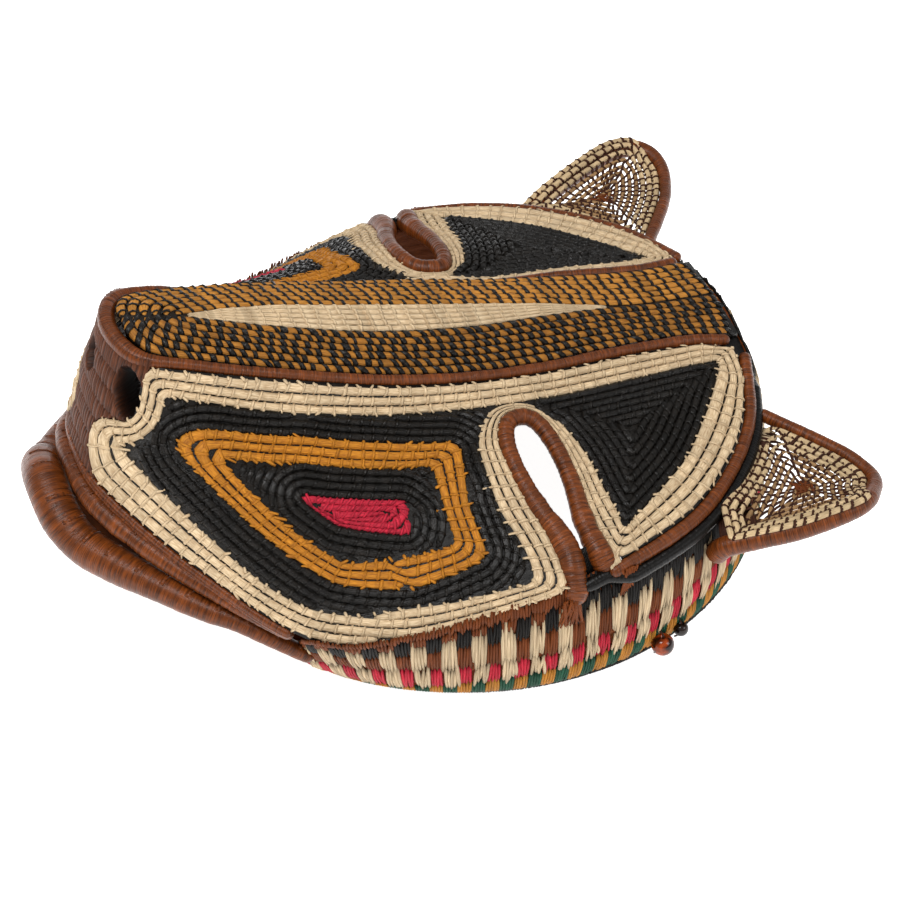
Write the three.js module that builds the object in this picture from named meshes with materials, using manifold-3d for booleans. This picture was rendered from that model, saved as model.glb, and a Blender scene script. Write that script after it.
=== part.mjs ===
// A coiled-fibre animal mask, lying on its rim with the face up.
// Millimetres, +Z up. The snout points along -X, the ears are at the +X end, the far side is +Y.
// Shapes are worked out about the rim's centre on the floor, and the whole is then moved so that
// the origin is at the bottom centre of its bounding box.
import * as THREE from 'three';
import { mergeVertices } from 'three/addons/utils/BufferGeometryUtils.js';
import Module from 'manifold-3d';

const wasm = await Module();
wasm.setup();

// Clearance between neighbouring pieces.
const gap = 0.3;

// Head band: a round coiled rim. Its outside is read as radius at heights above the floor.
const bandHeights = [0, 2.5, 5.2, 8.5, 16, 28, 42, 56, 72];
const bandRadii = [107.5, 110.6, 113.6, 116, 118, 118.5, 117.5, 115.5, 111];
const bandWall = 7;
const bandFoot = 4;           // width of the flat underside
const bandSegments = 64;
const bandBelow = 2.4;        // how far its top edge stays below the foot of the face
const bandPast = { cheek: 0.4, brow: 4.8, ridge: -2.6 };   // how far it reaches out past that foot
const bandUnderRidge = 4.8;   // how much higher it stands at the end of the ridge
const browFrom = [78, 84];    // degrees where the forehead's roll comes in, and where the ridge does
const ridgeFrom = [10, 15.5];
const chinTop = 15;           // height of the band where it passes under the chin
const chinAngle = 143;        // degrees from the forehead, where the band has dropped to that
const chinRamp = 12;          // degrees over which it drops

// Side of the face: two edge lines, seen as stations from the front of the muzzle to the forehead.
const faceTop = [
  [-140, 0, 124], [-133, 20, 122], [-113, 27.5, 117], [-81, 32.5, 108.5], [-45, 35.5, 98.5],
  [-12, 35.8, 91.3], [20, 33, 85.5], [52, 29.4, 82], [82, 27.5, 78.6], [100, 30, 76.4],
];
const faceFoot = [
  [-154, 0, 75], [-149, 27, 71], [-125, 63.5, 56], [-92, 97, 40], [-56, 112, 43],
  [-12, 118.5, 55], [21, 114.5, 61.5], [58, 99, 65], [88, 68, 69.5], [102, 32, 75.8],
];
const faceSwell = [0, 1, 3, 4, 4, 3, 0, -1.5, -1.5, 0];   // crown of the side between its two edges
const faceHollow = [0, 1, 4, 5.5, 5.5, 4, 4, 2.5, 1, 0];   // how far it is hollowed beside the ridge
const hollowAtEye = 0.7;      // share of the hollow that is missing over the eye slot
const farDrop = { depth: 4.2, from: [-120, -95], to: [0, 60], reach: [3, 32] };   // the far side sits lower
const faceWall = 4;
const lastStation = faceTop.length - 1;

// Outlines on the side of the face, as [station, share of the way from the top edge to the foot].
const slotLine = [
  [5.33, 1.07], [5.38, 1.0], [5.43, 0.9], [5.39, 0.77], [5.28, 0.63], [5.2, 0.46], [5.2, 0.31],
  [5.31, 0.22], [5.52, 0.2], [5.68, 0.25], [5.77, 0.38], [5.79, 0.56], [5.75, 0.74], [5.76, 0.88],
  [5.83, 1.02],
];
const muzzleEdge = [
  [1.25, -0.05], [1.22, 0.02], [1.19, 0.15], [1.21, 0.28], [1.08, 0.41], [0.85, 0.47], [0.56, 0.57],
  [0.4, 0.74], [0.49, 0.88], [0.69, 1.0], [0.74, 1.05],
];
const nostrils = [
  { station: -0.93, share: 0.25, halfStation: 0.2, halfShare: 0.15 },
  { station: 0.24, share: 0.27, halfStation: 0.2, halfShare: 0.1 },
];

// Nose ridge strip, its height along the middle, and the wrapped edging round it.
const ridgeLine = [
  [-137, 128.4], [-110, 122], [-85, 115.5], [-46, 104.7], [-6, 95.5], [35, 88.5], [74, 81], [104, 78.6],
];
const ridgeWall = 3.5;
const ridgeRise = 1.2;        // height of its sides above the face's top edge
const ridgeEnd = 9.05;        // station where it stops, a little past the sides of the face
const ridgeTongue = 1.5;      // how far its middle runs on over the band
const edgingRadius = 2.2;
const edgingRise = 1.2;

// Rolls along the eye slots and round the forehead.
const slotDive = 5;           // how far the rolls' ends turn down into the band
const slotRadii = [4.4, 4.6, 4.7, 4.4, 3.7, 3.2, 3, 3, 3, 3, 3, 3.2, 3.7, 4.4, 4.6];
const browRadius = 2.5;
const browOut = 2.6;          // the forehead roll sits outside and below the foot of the face
const browDown = 1.9;
const browStart = 6;

// Lips. The upper roll hangs on a strip below the foot of the face.
const upperOut = [2.6, 2.6, 0.8, -1.6];
const upperDown = [10, 10.2, 7.8, 4.4];
const upperRadius = [4.1, 4.1, 3.4, 2.3];
const upperEnd = 2.8;         // station where it runs out
const lipStrip = 3.4;         // thickness of the strip above the roll
const lowerLip = [
  [-167.6, 0, 58], [-166, 16, 53], [-160.5, 27, 47], [-151, 40, 45], [-139, 55, 43.6],
  [-126, 67, 39.5], [-114, 75, 35.5], [-103.3, 81.5, 29.5], [-89.6, 85.5, 19],
];
const lowerRadius = [8, 7.9, 7.6, 7, 5.7, 4.7, 4, 3.4, 2.8];
const lowerEnd = lowerLip.length - 1;
const jawWall = 4;
const jawEnd = lowerEnd - 1.6;

// Ears: flat nets with a rolled edge, standing out from the band. The two aren't quite alike.
const earRolls = {
  right: [
    [100.3, 57.2, 64], [119.6, 85.6, 62.5], [126.8, 101, 61.5], [129.2, 112, 62.5], [127.4, 120.2, 64],
    [121, 125, 65], [109.6, 126, 64], [91, 119.8, 60.5], [75, 113.6, 56], [64.6, 109, 50.5],
    [62, 105.5, 43],
  ],
  left: [
    [100.3, 57.2, 64], [120.3, 85.2, 62.5], [126.4, 97.8, 61.5], [126.6, 106, 62.2], [122.3, 113.6, 64],
    [115.2, 121, 66.2], [105.8, 123.2, 65.5], [88.7, 120.8, 60.5], [74, 116, 56], [64, 110.8, 50.5],
    [62, 106.5, 43],
  ],
};
const earRollRadius = [2.6, 2.6, 2.6, 2.8, 3.2, 3.7, 4, 4, 4, 4.2, 4.6];
const earWall = 3;
const earRootHeights = [61, 57.5];
const earRootAngles = [3, 24];   // from the back of the roll to the net, and across the net
const earEnd = 8.6;           // where along the roll the net stops

// Two glass beads strung against the foot of the band.
const amberBead = { radius: 4.4, bore: 1, angle: -71.3, out: 121.9, height: 12.6 };
const blackBead = { radius: 2.9, bore: 0.8, angle: -66.3, out: 120.7, height: 13.4 };

const colours = {
  black: new THREE.MeshStandardMaterial({ color: 0x17120f, roughness: 0.75, metalness: 0 }),
  brown: new THREE.MeshStandardMaterial({ color: 0x6b3316, roughness: 0.5, metalness: 0 }),
  gold: new THREE.MeshStandardMaterial({ color: 0xb57a25, roughness: 0.7, metalness: 0 }),
  cream: new THREE.MeshStandardMaterial({ color: 0xd8c49a, roughness: 0.75, metalness: 0 }),
  band: new THREE.MeshStandardMaterial({ color: 0x8a5238, roughness: 0.75, metalness: 0 }),
  amber: new THREE.MeshStandardMaterial({ color: 0x7a3208, roughness: 0.1, metalness: 0 }),
  jet: new THREE.MeshStandardMaterial({ color: 0x0c0a0a, roughness: 0.1, metalness: 0 }),
};

const radians = THREE.MathUtils.degToRad;

// Smooth curve through a row of points or numbers, read at a station.
function along(rows, station, before) {
  const scalar = !Array.isArray(rows[0]);
  const list = scalar ? rows.map((value) => [value]) : rows;
  const count = list.length;
  const first = Math.min(Math.max(Math.floor(station), 0), count - 2);
  const f = station - first;
  const start = before ?? list[0].map((value, axis) => 2 * value - list[1][axis]);
  const end = list[count - 1].map((value, axis) => 2 * value - list[count - 2][axis]);
  const p0 = first === 0 ? start : list[first - 1];
  const p1 = list[first];
  const p2 = list[first + 1];
  const p3 = first === count - 2 ? end : list[first + 2];
  const result = p1.map((value, axis) => 0.5 * (2 * value + (p2[axis] - p0[axis]) * f
    + (2 * p0[axis] - 5 * value + 4 * p2[axis] - p3[axis]) * f * f
    + (3 * value - p0[axis] - 3 * p2[axis] + p3[axis]) * f * f * f));
  return scalar ? result[0] : result;
}

// A face edge at a station, mirrored for stations below zero, so it is smooth across the middle.
function edgePoint(rows, station) {
  const [x, y, z] = rows[1];
  const point = along(rows, Math.abs(station), [x, -y, z]);
  return new THREE.Vector3(point[0], Math.sign(station || 1) * point[1], point[2]);
}

function flatFace(station, share) {
  return edgePoint(faceTop, station).lerp(edgePoint(faceFoot, station), share);
}

// The side of the face: straight rulings between its two edges, crowned along the normal.
function faceNormal(station, share) {
  const step = 0.002;
  const du = flatFace(station + step, share).sub(flatFace(station - step, share));
  const dv = flatFace(station, share + step).sub(flatFace(station, share - step));
  return du.cross(dv).normalize();
}

// The hollow beside the ridge runs inwards and down.
function facePoint(station, share, lift = 0) {
  const far = Math.abs(station);
  const step = THREE.MathUtils.smoothstep;
  const swell = along(faceSwell, far) * 4 * share * (1 - share);
  const eye = 1 - hollowAtEye * Math.exp(-(((far - 5.5) / 0.45) ** 2));
  const part = step(share, 0, 0.12) * (1 - step(share, 0.13, 0.5));
  const hollow = Math.max(along(faceHollow, far) * eye * part, 0);
  const inwards = new THREE.Vector3(0.25, -0.72 * Math.sign(station), -0.64);
  return flatFace(station, share)
    .addScaledVector(faceNormal(station, share), swell + lift)
    .addScaledVector(inwards, hollow);
}

// The side away from the viewer is set lower along the ridge, by more the nearer a point is to it.
function dropAt(x, y) {
  const step = THREE.MathUtils.smoothstep;
  let index = 0;
  while (index < faceTop.length - 2 && x > faceTop[index + 1][0]) index += 1;
  const [x0, y0] = faceTop[index];
  const [x1, y1] = faceTop[index + 1];
  const away = y - (y0 + ((y1 - y0) * (x - x0)) / (x1 - x0));
  const lengthways = step(x, ...farDrop.from) * (1 - step(x, ...farDrop.to));
  return farDrop.depth * lengthways * (1 - step(away, ...farDrop.reach));
}

function solid(geometry) {
  const bare = geometry.index ? geometry.clone() : geometry;
  for (const key of Object.keys(bare.attributes)) {
    if (key !== 'position') bare.deleteAttribute(key);
  }
  const merged = mergeVertices(bare, 1e-4);
  return new wasm.Manifold(new wasm.Mesh({
    numProp: 3,
    vertProperties: new Float32Array(merged.attributes.position.array),
    triVerts: new Uint32Array(merged.index.array),
  }));
}

function geometryOf(shape) {
  const mesh = shape.getMesh();
  const geometry = new THREE.BufferGeometry();
  geometry.setAttribute('position', new THREE.BufferAttribute(new Float32Array(mesh.vertProperties), 3));
  geometry.setIndex(new THREE.BufferAttribute(new Uint32Array(mesh.triVerts), 1));
  geometry.computeVertexNormals();
  return geometry;
}

function warped(geometry, move) {
  const position = geometry.attributes.position;
  const point = new THREE.Vector3();
  for (let i = 0; i < position.count; i += 1) {
    point.fromBufferAttribute(position, i);
    const moved = move(point.x, point.y, point.z);
    position.setXYZ(i, moved.x, moved.y, moved.z);
  }
  geometry.computeVertexNormals();
  return geometry;
}

// A tube along a curve with closed ends, its radius given by the share of the way along.
function tube(points, radiusAt, steps, sides = 8) {
  const path = new THREE.CatmullRomCurve3(points, false, 'centripetal');
  const rings = [];
  let normal = new THREE.Vector3(0, 0, 1);
  for (let i = 0; i <= steps; i += 1) {
    const tangent = path.getTangent(i / steps);
    normal = normal.clone().addScaledVector(tangent, -normal.dot(tangent)).normalize();
    rings.push({ centre: path.getPoint(i / steps), normal, side: tangent.cross(normal) });
  }
  const geometry = new THREE.CylinderGeometry(1, 1, 1, sides, steps);
  return warped(geometry, (x, y, z) => {
    const index = Math.round((0.5 - y) * steps);
    const ring = rings[index];
    const radius = radiusAt(index / steps);
    return ring.centre.clone()
      .addScaledVector(ring.normal, x * radius)
      .addScaledVector(ring.side, z * radius);
  });
}

function mirrored(shape) {
  return shape.mirror([0, 1, 0]);
}

function dropped(shape) {
  return solid(warped(geometryOf(shape), (x, y, z) => new THREE.Vector3(x, y, z - dropAt(x, y))));
}

// Flat sheet in chart units, cut to an outline there and then laid on the face.
const chart = { station: 30, share: 80 };

function chartSheet(from, to, shareFrom, shareTo, wall, stationSteps, shareSteps) {
  const width = (to - from) * chart.station;
  const height = (shareTo - shareFrom) * chart.share;
  const sheet = new THREE.BoxGeometry(width, height, wall, stationSteps, shareSteps, 1);
  sheet.translate(from * chart.station + width / 2, shareFrom * chart.share + height / 2, 0);
  return solid(sheet);
}

function chartPrism(outline, depth) {
  const shape = new THREE.Shape(outline.map(([station, share]) =>
    new THREE.Vector2(station * chart.station, share * chart.share)));
  const prism = new THREE.ExtrudeGeometry(shape, { depth, bevelEnabled: false });
  prism.translate(0, 0, -depth / 2);
  return solid(prism);
}

function laidOnFace(sheet) {
  const geometry = warped(geometryOf(sheet), (x, y, z) =>
    facePoint(x / chart.station, y / chart.share, z));
  return solid(geometry);
}

function smoothOutline(points, count) {
  const curve = new THREE.CatmullRomCurve3(points.map(([a, b]) => new THREE.Vector3(a, b, 0)));
  return curve.getPoints(count).map((point) => [point.x, point.y]);
}

// The outline moved sideways over the face by a real distance, or by one for each share of the way.
function sideways(outline, distance) {
  const step = 0.004;
  return outline.map(([station, share], index) => {
    const before = outline[Math.max(index - 1, 0)];
    const after = outline[Math.min(index + 1, outline.length - 1)];
    const du = facePoint(station + step, share).sub(facePoint(station - step, share))
      .divideScalar(2 * step);
    const dv = facePoint(station, share + step).sub(facePoint(station, share - step))
      .divideScalar(2 * step);
    const tangent = du.clone().multiplyScalar(after[0] - before[0])
      .addScaledVector(dv, after[1] - before[1]);
    const far = typeof distance === 'number' ? distance : distance(index / (outline.length - 1));
    const side = tangent.cross(faceNormal(station, share)).setLength(far);
    const uu = du.dot(du);
    const uv = du.dot(dv);
    const vv = dv.dot(dv);
    const size = uu * vv - uv * uv;
    return [station + (side.dot(du) * vv - side.dot(dv) * uv) / size,
      share + (side.dot(dv) * uu - side.dot(du) * uv) / size];
  });
}

function planSide(rows, station) {
  const step = 0.01;
  const ahead = edgePoint(rows, station + step).sub(edgePoint(rows, station - step));
  return new THREE.Vector3(-ahead.y, ahead.x, 0).normalize();
}

// Paths of the rolls, on one side of the face.
function slotPath() {
  const lift = (share) => 0.6 - slotDive * THREE.MathUtils.smoothstep(share, 0.9, 1.05);
  return slotLine.map(([station, share]) => facePoint(station, share, lift(share)));
}

function slotRadiusAt(share) {
  return along(slotRadii, share * (slotRadii.length - 1));
}

function browPath() {
  const points = [];
  for (let station = browStart; station <= lastStation + 0.01; station += 0.25) {
    points.push(edgePoint(faceFoot, station)
      .addScaledVector(planSide(faceFoot, station), browOut)
      .add(new THREE.Vector3(0, 0, -browDown)));
  }
  return points;
}

function edgingPath() {
  const points = [];
  for (let i = -32; i <= 32; i += 1) {
    const station = (i / 32) * lastStation;
    const edge = edgePoint(faceTop, station);
    const drop = station > 0 ? dropAt(edge.x, edge.y) : 0;
    points.push(edge
      .addScaledVector(planSide(faceTop, station), -(edgingRadius + 2.5 * gap))
      .add(new THREE.Vector3(0, 0, edgingRise - drop)));
  }
  return points;
}

// Panel: cheek and forehead in one, cut for the eye slot and for the muzzle front.
function facePanel() {
  const sheet = chartSheet(0.2, lastStation, 0.002, 1, faceWall, 26, 5);
  const line = sideways(smoothOutline(slotLine, 26), (share) => slotRadiusAt(share) + gap);
  const slot = chartPrism([[5, 1.3]].concat(line, [[6.2, 1.3]]), 3 * faceWall);
  const front = smoothOutline(muzzleEdge, 16).concat([[-0.4, 1.2], [-0.4, -0.2], [1.24, -0.2]]);
  return laidOnFace(sheet.subtract(slot).subtract(chartPrism(front, 3 * faceWall)));
}

// Muzzle front between the two panels, with the nostrils through it.
function muzzleFront() {
  const sheet = chartSheet(-1.4, 1.4, 0.01, 1, faceWall, 12, 6);
  const near = sideways(smoothOutline(muzzleEdge, 16), -gap);
  const far = near.map(([station, share]) => [-station, share]).reverse();
  let front = sheet.intersect(chartPrism(near.concat(far), 3 * faceWall));
  for (const nostril of nostrils) {
    const hole = [];
    for (let i = 0; i < 10; i += 1) {
      const turn = (i / 10) * 2 * Math.PI;
      hole.push([nostril.station + nostril.halfStation * Math.cos(turn),
        nostril.share + nostril.halfShare * Math.sin(turn)]);
    }
    front = front.subtract(chartPrism(hole, 3 * faceWall));
  }
  return laidOnFace(front);
}

// Ridge strip: lies inside the edging, its section a low crown.
function ridgeStrip() {
  const sheet = new THREE.BoxGeometry(1, 2, ridgeWall, 24, 4, 1);
  const front = 0.35;
  return warped(sheet, (x, y, z) => {
    const share = x + 0.5;
    const station = front + share * (ridgeEnd - front);
    const edge = edgePoint(faceTop, station)
      .addScaledVector(planSide(faceTop, station), -(2 * edgingRadius + 4 * gap));
    let index = 0;
    while (index < ridgeLine.length - 2 && edge.x > ridgeLine[index + 1][0]) index += 1;
    const part = (edge.x - ridgeLine[index][0]) / (ridgeLine[index + 1][0] - ridgeLine[index][0]);
    const middle = along(ridgeLine.map((row) => row[1]), index + part);
    return new THREE.Vector3(edge.x + ridgeTongue * (1 - y * y) * share ** 6, y * edge.y,
      middle + (edge.z + ridgeRise - middle) * y * y + z);
  });
}

// Band: foot of the face as seen from the rim's axis, then the wall up to it.
const footByAngle = [];
for (let station = 0.4; station <= lastStation; station += 0.05) {
  const foot = edgePoint(faceFoot, station);
  footByAngle.push({ angle: Math.atan2(foot.y, foot.x), radius: Math.hypot(foot.x, foot.y), z: foot.z });
}

function footAt(angle) {
  const turn = Math.abs(Math.atan2(Math.sin(angle), Math.cos(angle)));
  let best = footByAngle[0];
  for (const foot of footByAngle) {
    if (Math.abs(foot.angle - turn) < Math.abs(best.angle - turn)) best = foot;
  }
  return best;
}

function bandRadius(height) {
  let index = 0;
  while (index < bandHeights.length - 2 && height > bandHeights[index + 1]) index += 1;
  const share = (height - bandHeights[index]) / (bandHeights[index + 1] - bandHeights[index]);
  return bandRadii[index] + (bandRadii[index + 1] - bandRadii[index]) * share;
}

function bandWallAt(angle, level, inner) {
  const turn = Math.abs(THREE.MathUtils.radToDeg(Math.atan2(Math.sin(angle), Math.cos(angle))));
  const foot = footAt(angle);
  const brow = 1 - THREE.MathUtils.smoothstep(turn, ...browFrom);
  const chin = THREE.MathUtils.smoothstep(turn, chinAngle - chinRamp, chinAngle);
  const ridge = 1 - THREE.MathUtils.smoothstep(turn, ...ridgeFrom);
  const below = THREE.MathUtils.lerp(bandBelow, browDown + browRadius + 1.5 * gap, brow);
  const under = below - bandUnderRidge * ridge;
  const top = THREE.MathUtils.lerp(foot.z - under, chinTop, chin);
  const height = Math.min(Math.max(level, 0), 1) * top;
  const past = THREE.MathUtils.lerp(bandPast.cheek, bandPast.brow, brow)
    + (bandPast.ridge - bandPast.cheek) * ridge;
  const rim = THREE.MathUtils.lerp(foot.radius + past, bandRadius(chinTop), chin);
  const flare = (rim - bandRadius(top)) * (height / top) ** 1.6;
  const base = THREE.MathUtils.smoothstep(height, 0, 9);
  const wall = inner ? THREE.MathUtils.lerp(bandFoot, bandWall, base) : 0;
  return new THREE.Vector3(bandRadius(height) + flare - wall, 0, height)
    .applyAxisAngle(new THREE.Vector3(0, 0, 1), angle);
}

function bandReach(angle, height) {
  const top = bandWallAt(angle, 1, false).z;
  const point = bandWallAt(angle, height / top, false);
  return Math.hypot(point.x, point.y);
}

function headBand(cutters) {
  const levels = [0, 0.045, 0.1, 0.16, 0.3, 0.5, 0.75, 1];
  const profile = levels.map((level) => new THREE.Vector2(2, level));
  for (const level of [1, 0.66, 0.33, 0.12, 0]) profile.push(new THREE.Vector2(1, level));
  profile.push(profile[0].clone());
  const ring = new THREE.LatheGeometry(profile, bandSegments);
  ring.rotateX(Math.PI / 2);
  const shaped = warped(ring, (x, y, z) =>
    bandWallAt(Math.atan2(y, x), z, Math.hypot(x, y) < 1.5));
  let band = solid(shaped);
  for (const cutter of cutters) band = band.subtract(cutter);
  return band;
}

// Upper lip: a strip under the foot of the face that ends in a roll, swept as one section.
// The section's corners are the roll's, and then the strip's two.
function upperLip() {
  const sides = 7;
  const corners = sides + 2;
  const steps = 28;
  const strip = new THREE.CylinderGeometry(1, 1, 1, corners, steps);
  return warped(strip, (x, y, z) => {
    const share = -2 * y;
    const station = share * upperEnd;
    const near = Math.abs(share) * (upperRadius.length - 1);
    const radius = along(upperRadius, near);
    const foot = edgePoint(faceFoot, station);
    const out = planSide(faceFoot, station);
    const endCap = x === 0 && z === 0;
    if (endCap) return foot;
    const corner = (Math.round((Math.atan2(x, z) / (2 * Math.PI)) * corners) + corners) % corners;
    if (corner >= sides) {
      const normal = faceNormal(station, 1);
      const down = foot.clone().sub(edgePoint(faceTop, station)).normalize();
      const side = corner === sides ? -1 : 1;
      return foot.addScaledVector(down, 2 * gap).addScaledVector(normal, (side * lipStrip) / 2);
    }
    const turn = radians(50 + (260 * corner) / (sides - 1));
    return foot
      .addScaledVector(out, along(upperOut, near) + radius * Math.sin(turn))
      .add(new THREE.Vector3(0, 0, -along(upperDown, near) + radius * Math.cos(turn)));
  });
}

// Lower lip and jaw.
function lowerPoint(station) {
  const [x, y, z] = lowerLip[1];
  const point = along(lowerLip, Math.abs(station), [x, -y, z]);
  return new THREE.Vector3(point[0], Math.sign(station || 1) * point[1], point[2]);
}

function lowerRoll(extra) {
  const points = [];
  for (let i = -16; i <= 16; i += 1) points.push(lowerPoint((i / 16) * lowerEnd));
  const swell = (share) => extra + along(lowerRadius, Math.abs(2 * share - 1) * lowerEnd);
  return solid(tube(points, swell, 36, 8));
}

function jawPlate() {
  const sheet = new THREE.BoxGeometry(2, 1, jawWall, 24, 3, 1);
  return warped(sheet, (x, y, z) => {
    const station = x * jawEnd;
    const lip = lowerPoint(station);
    const angle = Math.PI - Math.sign(x) * Math.abs(x) ** 0.9 * radians(180 - chinAngle);
    const rim = new THREE.Vector3(Math.cos(angle), Math.sin(angle), 0)
      .multiplyScalar(bandRadius(chinTop) - bandWall / 2)
      .add(new THREE.Vector3(0, 0, chinTop + jawWall / 2 + 1.6));
    const slope = rim.clone().sub(lip).normalize();
    const start = lip.addScaledVector(slope, along(lowerRadius, Math.abs(station)) + 2 * gap);
    const across = new THREE.Vector3(Math.sin(angle), -Math.cos(angle), 0);
    return start.lerp(rim, y + 0.5).addScaledVector(across.cross(slope).normalize(), z);
  });
}

// Ears.
function earPoint(earRoll, station) {
  return new THREE.Vector3(...along(earRoll, station));
}

function earRollTube(earRoll, extra) {
  const points = [];
  for (let i = 0; i <= 30; i += 1) points.push(earPoint(earRoll, (i / 30) * (earRoll.length - 1)));
  return solid(tube(points, (share) => extra + along(earRollRadius, share * (earRoll.length - 1)), 24, 8));
}

function earNet(earRoll) {
  const net = new THREE.BoxGeometry(1, 1, earWall, 14, 2, 1);
  const from = Math.atan2(earRoll[0][1], earRoll[0][0]) + radians(earRootAngles[0]);
  const to = from + radians(earRootAngles[1]);
  return warped(net, (x, y, z) => {
    const share = 0.5 - x;
    const station = 0.25 + share * (earEnd - 0.25);
    const edge = earPoint(earRoll, station);
    const ahead = earPoint(earRoll, station + 0.05).sub(earPoint(earRoll, station - 0.05));
    const inward = new THREE.Vector3(-ahead.y, ahead.x, 0).normalize();
    edge.addScaledVector(inward, along(earRollRadius, station) + 3 * gap);
    const angle = THREE.MathUtils.lerp(from, to, share);
    const height = THREE.MathUtils.lerp(earRootHeights[0], earRootHeights[1], share);
    const reach = bandReach(angle, height + earWall / 2) + 2 * gap;
    const root = new THREE.Vector3(reach * Math.cos(angle), reach * Math.sin(angle), height);
    const point = root.lerp(edge, y + 0.5);
    return new THREE.Vector3(point.x, point.y, point.z + z);
  });
}

function bead({ radius, bore, angle, out, height }) {
  const profile = [];
  for (let i = 0; i <= 6; i += 1) {
    const turn = Math.PI * (i / 6);
    profile.push(new THREE.Vector2(bore + (radius - bore) * Math.sin(turn), -radius * Math.cos(turn) * 0.9));
  }
  profile.push(new THREE.Vector2(bore, -radius * 0.9));
  const shape = new THREE.LatheGeometry(profile, 10);
  shape.rotateZ(radians(angle) + 0.3);
  shape.translate(out * Math.cos(radians(angle)), out * Math.sin(radians(angle)), height);
  return shape;
}

const group = new THREE.Group();

function place(name, shape, material) {
  const mesh = new THREE.Mesh(shape.isBufferGeometry ? shape : geometryOf(shape), material);
  mesh.name = name;
  group.add(mesh);
}

// The wearer's right side is at +Y, as the face looks up with its crown towards +X.
function placeBoth(name, shape, material, right = shape) {
  place(`${name}_right`, right, material);
  place(`${name}_left`, mirrored(shape), material);
}

const slotRoll = solid(tube(slotPath(), slotRadiusAt, 30, 8));
const slotCutter = solid(tube(slotPath(), (share) => slotRadiusAt(share) + gap, 30, 8));
const browRoll = solid(tube(browPath(), () => browRadius, 18, 6)).subtract(slotCutter);
const lowerCutter = lowerRoll(gap);
const bandCutters = [
  dropped(slotCutter), mirrored(slotCutter), lowerCutter,
  earRollTube(earRolls.right, gap), mirrored(earRollTube(earRolls.left, gap)),
];
const panel = facePanel();

placeBoth('face_panel', panel, colours.black, dropped(panel));
place('muzzle_front', muzzleFront(), colours.brown);
place('nose_ridge', ridgeStrip(), colours.gold);
place('ridge_edging', tube(edgingPath(), () => edgingRadius, 60, 6), colours.brown);
placeBoth('eye_roll', slotRoll, colours.brown, dropped(slotRoll));
placeBoth('brow_roll', browRoll, colours.brown);
place('upper_lip', upperLip(), colours.brown);
place('lower_lip', lowerRoll(0), colours.brown);
place('jaw', solid(jawPlate()).subtract(lowerCutter), colours.brown);
place('head_band', headBand(bandCutters), colours.band);
placeBoth('ear_roll', earRollTube(earRolls.left, 0), colours.brown, earRollTube(earRolls.right, 0));
placeBoth('ear', solid(earNet(earRolls.left)), colours.cream, solid(earNet(earRolls.right)));
place('bead_amber', bead(amberBead), colours.amber);
place('bead_black', bead(blackBead), colours.jet);

// Put the origin at the bottom centre of the bounding box.
const box = new THREE.Box3().setFromObject(group);
const middle = box.getCenter(new THREE.Vector3());
for (const mesh of group.children) mesh.geometry.translate(-middle.x, -middle.y, -box.min.z);

export default group;
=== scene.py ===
import math
import bpy
import numpy as np
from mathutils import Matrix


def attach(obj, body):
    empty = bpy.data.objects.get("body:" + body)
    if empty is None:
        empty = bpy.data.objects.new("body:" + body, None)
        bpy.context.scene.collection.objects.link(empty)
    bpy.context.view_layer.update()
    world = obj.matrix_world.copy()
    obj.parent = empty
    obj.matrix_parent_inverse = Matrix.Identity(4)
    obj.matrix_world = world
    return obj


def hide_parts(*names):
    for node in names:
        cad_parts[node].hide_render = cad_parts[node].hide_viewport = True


# A coiled-fibre animal mask on a pale floor, lying on its rim with the face up.
# Shapes are worked out in millimetres about the rim's centre, and finishPiece puts them in the frame.

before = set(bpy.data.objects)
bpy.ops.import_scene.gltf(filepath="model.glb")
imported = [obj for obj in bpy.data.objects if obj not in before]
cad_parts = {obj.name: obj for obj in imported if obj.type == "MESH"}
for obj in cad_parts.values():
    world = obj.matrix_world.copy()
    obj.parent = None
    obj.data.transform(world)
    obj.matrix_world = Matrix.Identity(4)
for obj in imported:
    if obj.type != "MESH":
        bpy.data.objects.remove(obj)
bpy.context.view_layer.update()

# The mask's own shape, from the same curves as its solids: points from the muzzle to the forehead.
face = {
    "top": [(-140, 0, 124), (-133, 20, 122), (-113, 27.5, 117), (-81, 32.5, 108.5), (-45, 35.5, 98.5),
            (-12, 35.8, 91.3), (20, 33, 85.5), (52, 29.4, 82), (82, 27.5, 78.6), (100, 30, 76.4)],
    "foot": [(-154, 0, 75), (-149, 27, 71), (-125, 63.5, 56), (-92, 97, 40), (-56, 112, 43),
             (-12, 118.5, 55), (21, 114.5, 61.5), (58, 99, 65), (88, 68, 69.5), (102, 32, 75.8)],
    "swell": [0, 1, 3, 4, 4, 3, 0, -1.5, -1.5, 0],
    "hollow": [0, 1, 4, 5.5, 5.5, 4, 4, 2.5, 1, 0], "hollowEye": 0.7,
    "drop": 4.2, "dropFrom": (-120, -95), "dropTo": (0, 60), "dropReach": (3, 32),
}
rim = {
    "heights": [0, 2.5, 5.2, 8.5, 16, 28, 42, 56, 72, 90],
    "radii": [107.5, 110.6, 113.6, 116, 118, 118.5, 117.5, 115.5, 111, 105.9],
    "chinTop": 15, "chinFrom": 131, "chinTo": 143,
    "below": 2.4, "underBrow": 2.45, "underRidge": 4.8,
    "pastCheek": 0.4, "pastBrow": 4.8, "pastRidge": -2.6,
}


upright = np.array([0.0, 0.0, 1.0])


def unit(vectors):
    return vectors / np.maximum(np.linalg.norm(vectors, axis=-1, keepdims=True), 1e-9)


def smooth(value, low, high):
    t = np.clip((value - low) / (high - low), 0, 1)
    return t * t * (3 - 2 * t)


def polar(radius, angle, height):
    # a place round the rim's axis, or with a radius of one a direction
    return np.stack(np.broadcast_arrays(radius * np.cos(angle), radius * np.sin(angle), height), -1)


def travelAlong(path):
    return np.r_[0, np.cumsum(np.linalg.norm(np.diff(path, axis=0), axis=1))]


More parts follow.
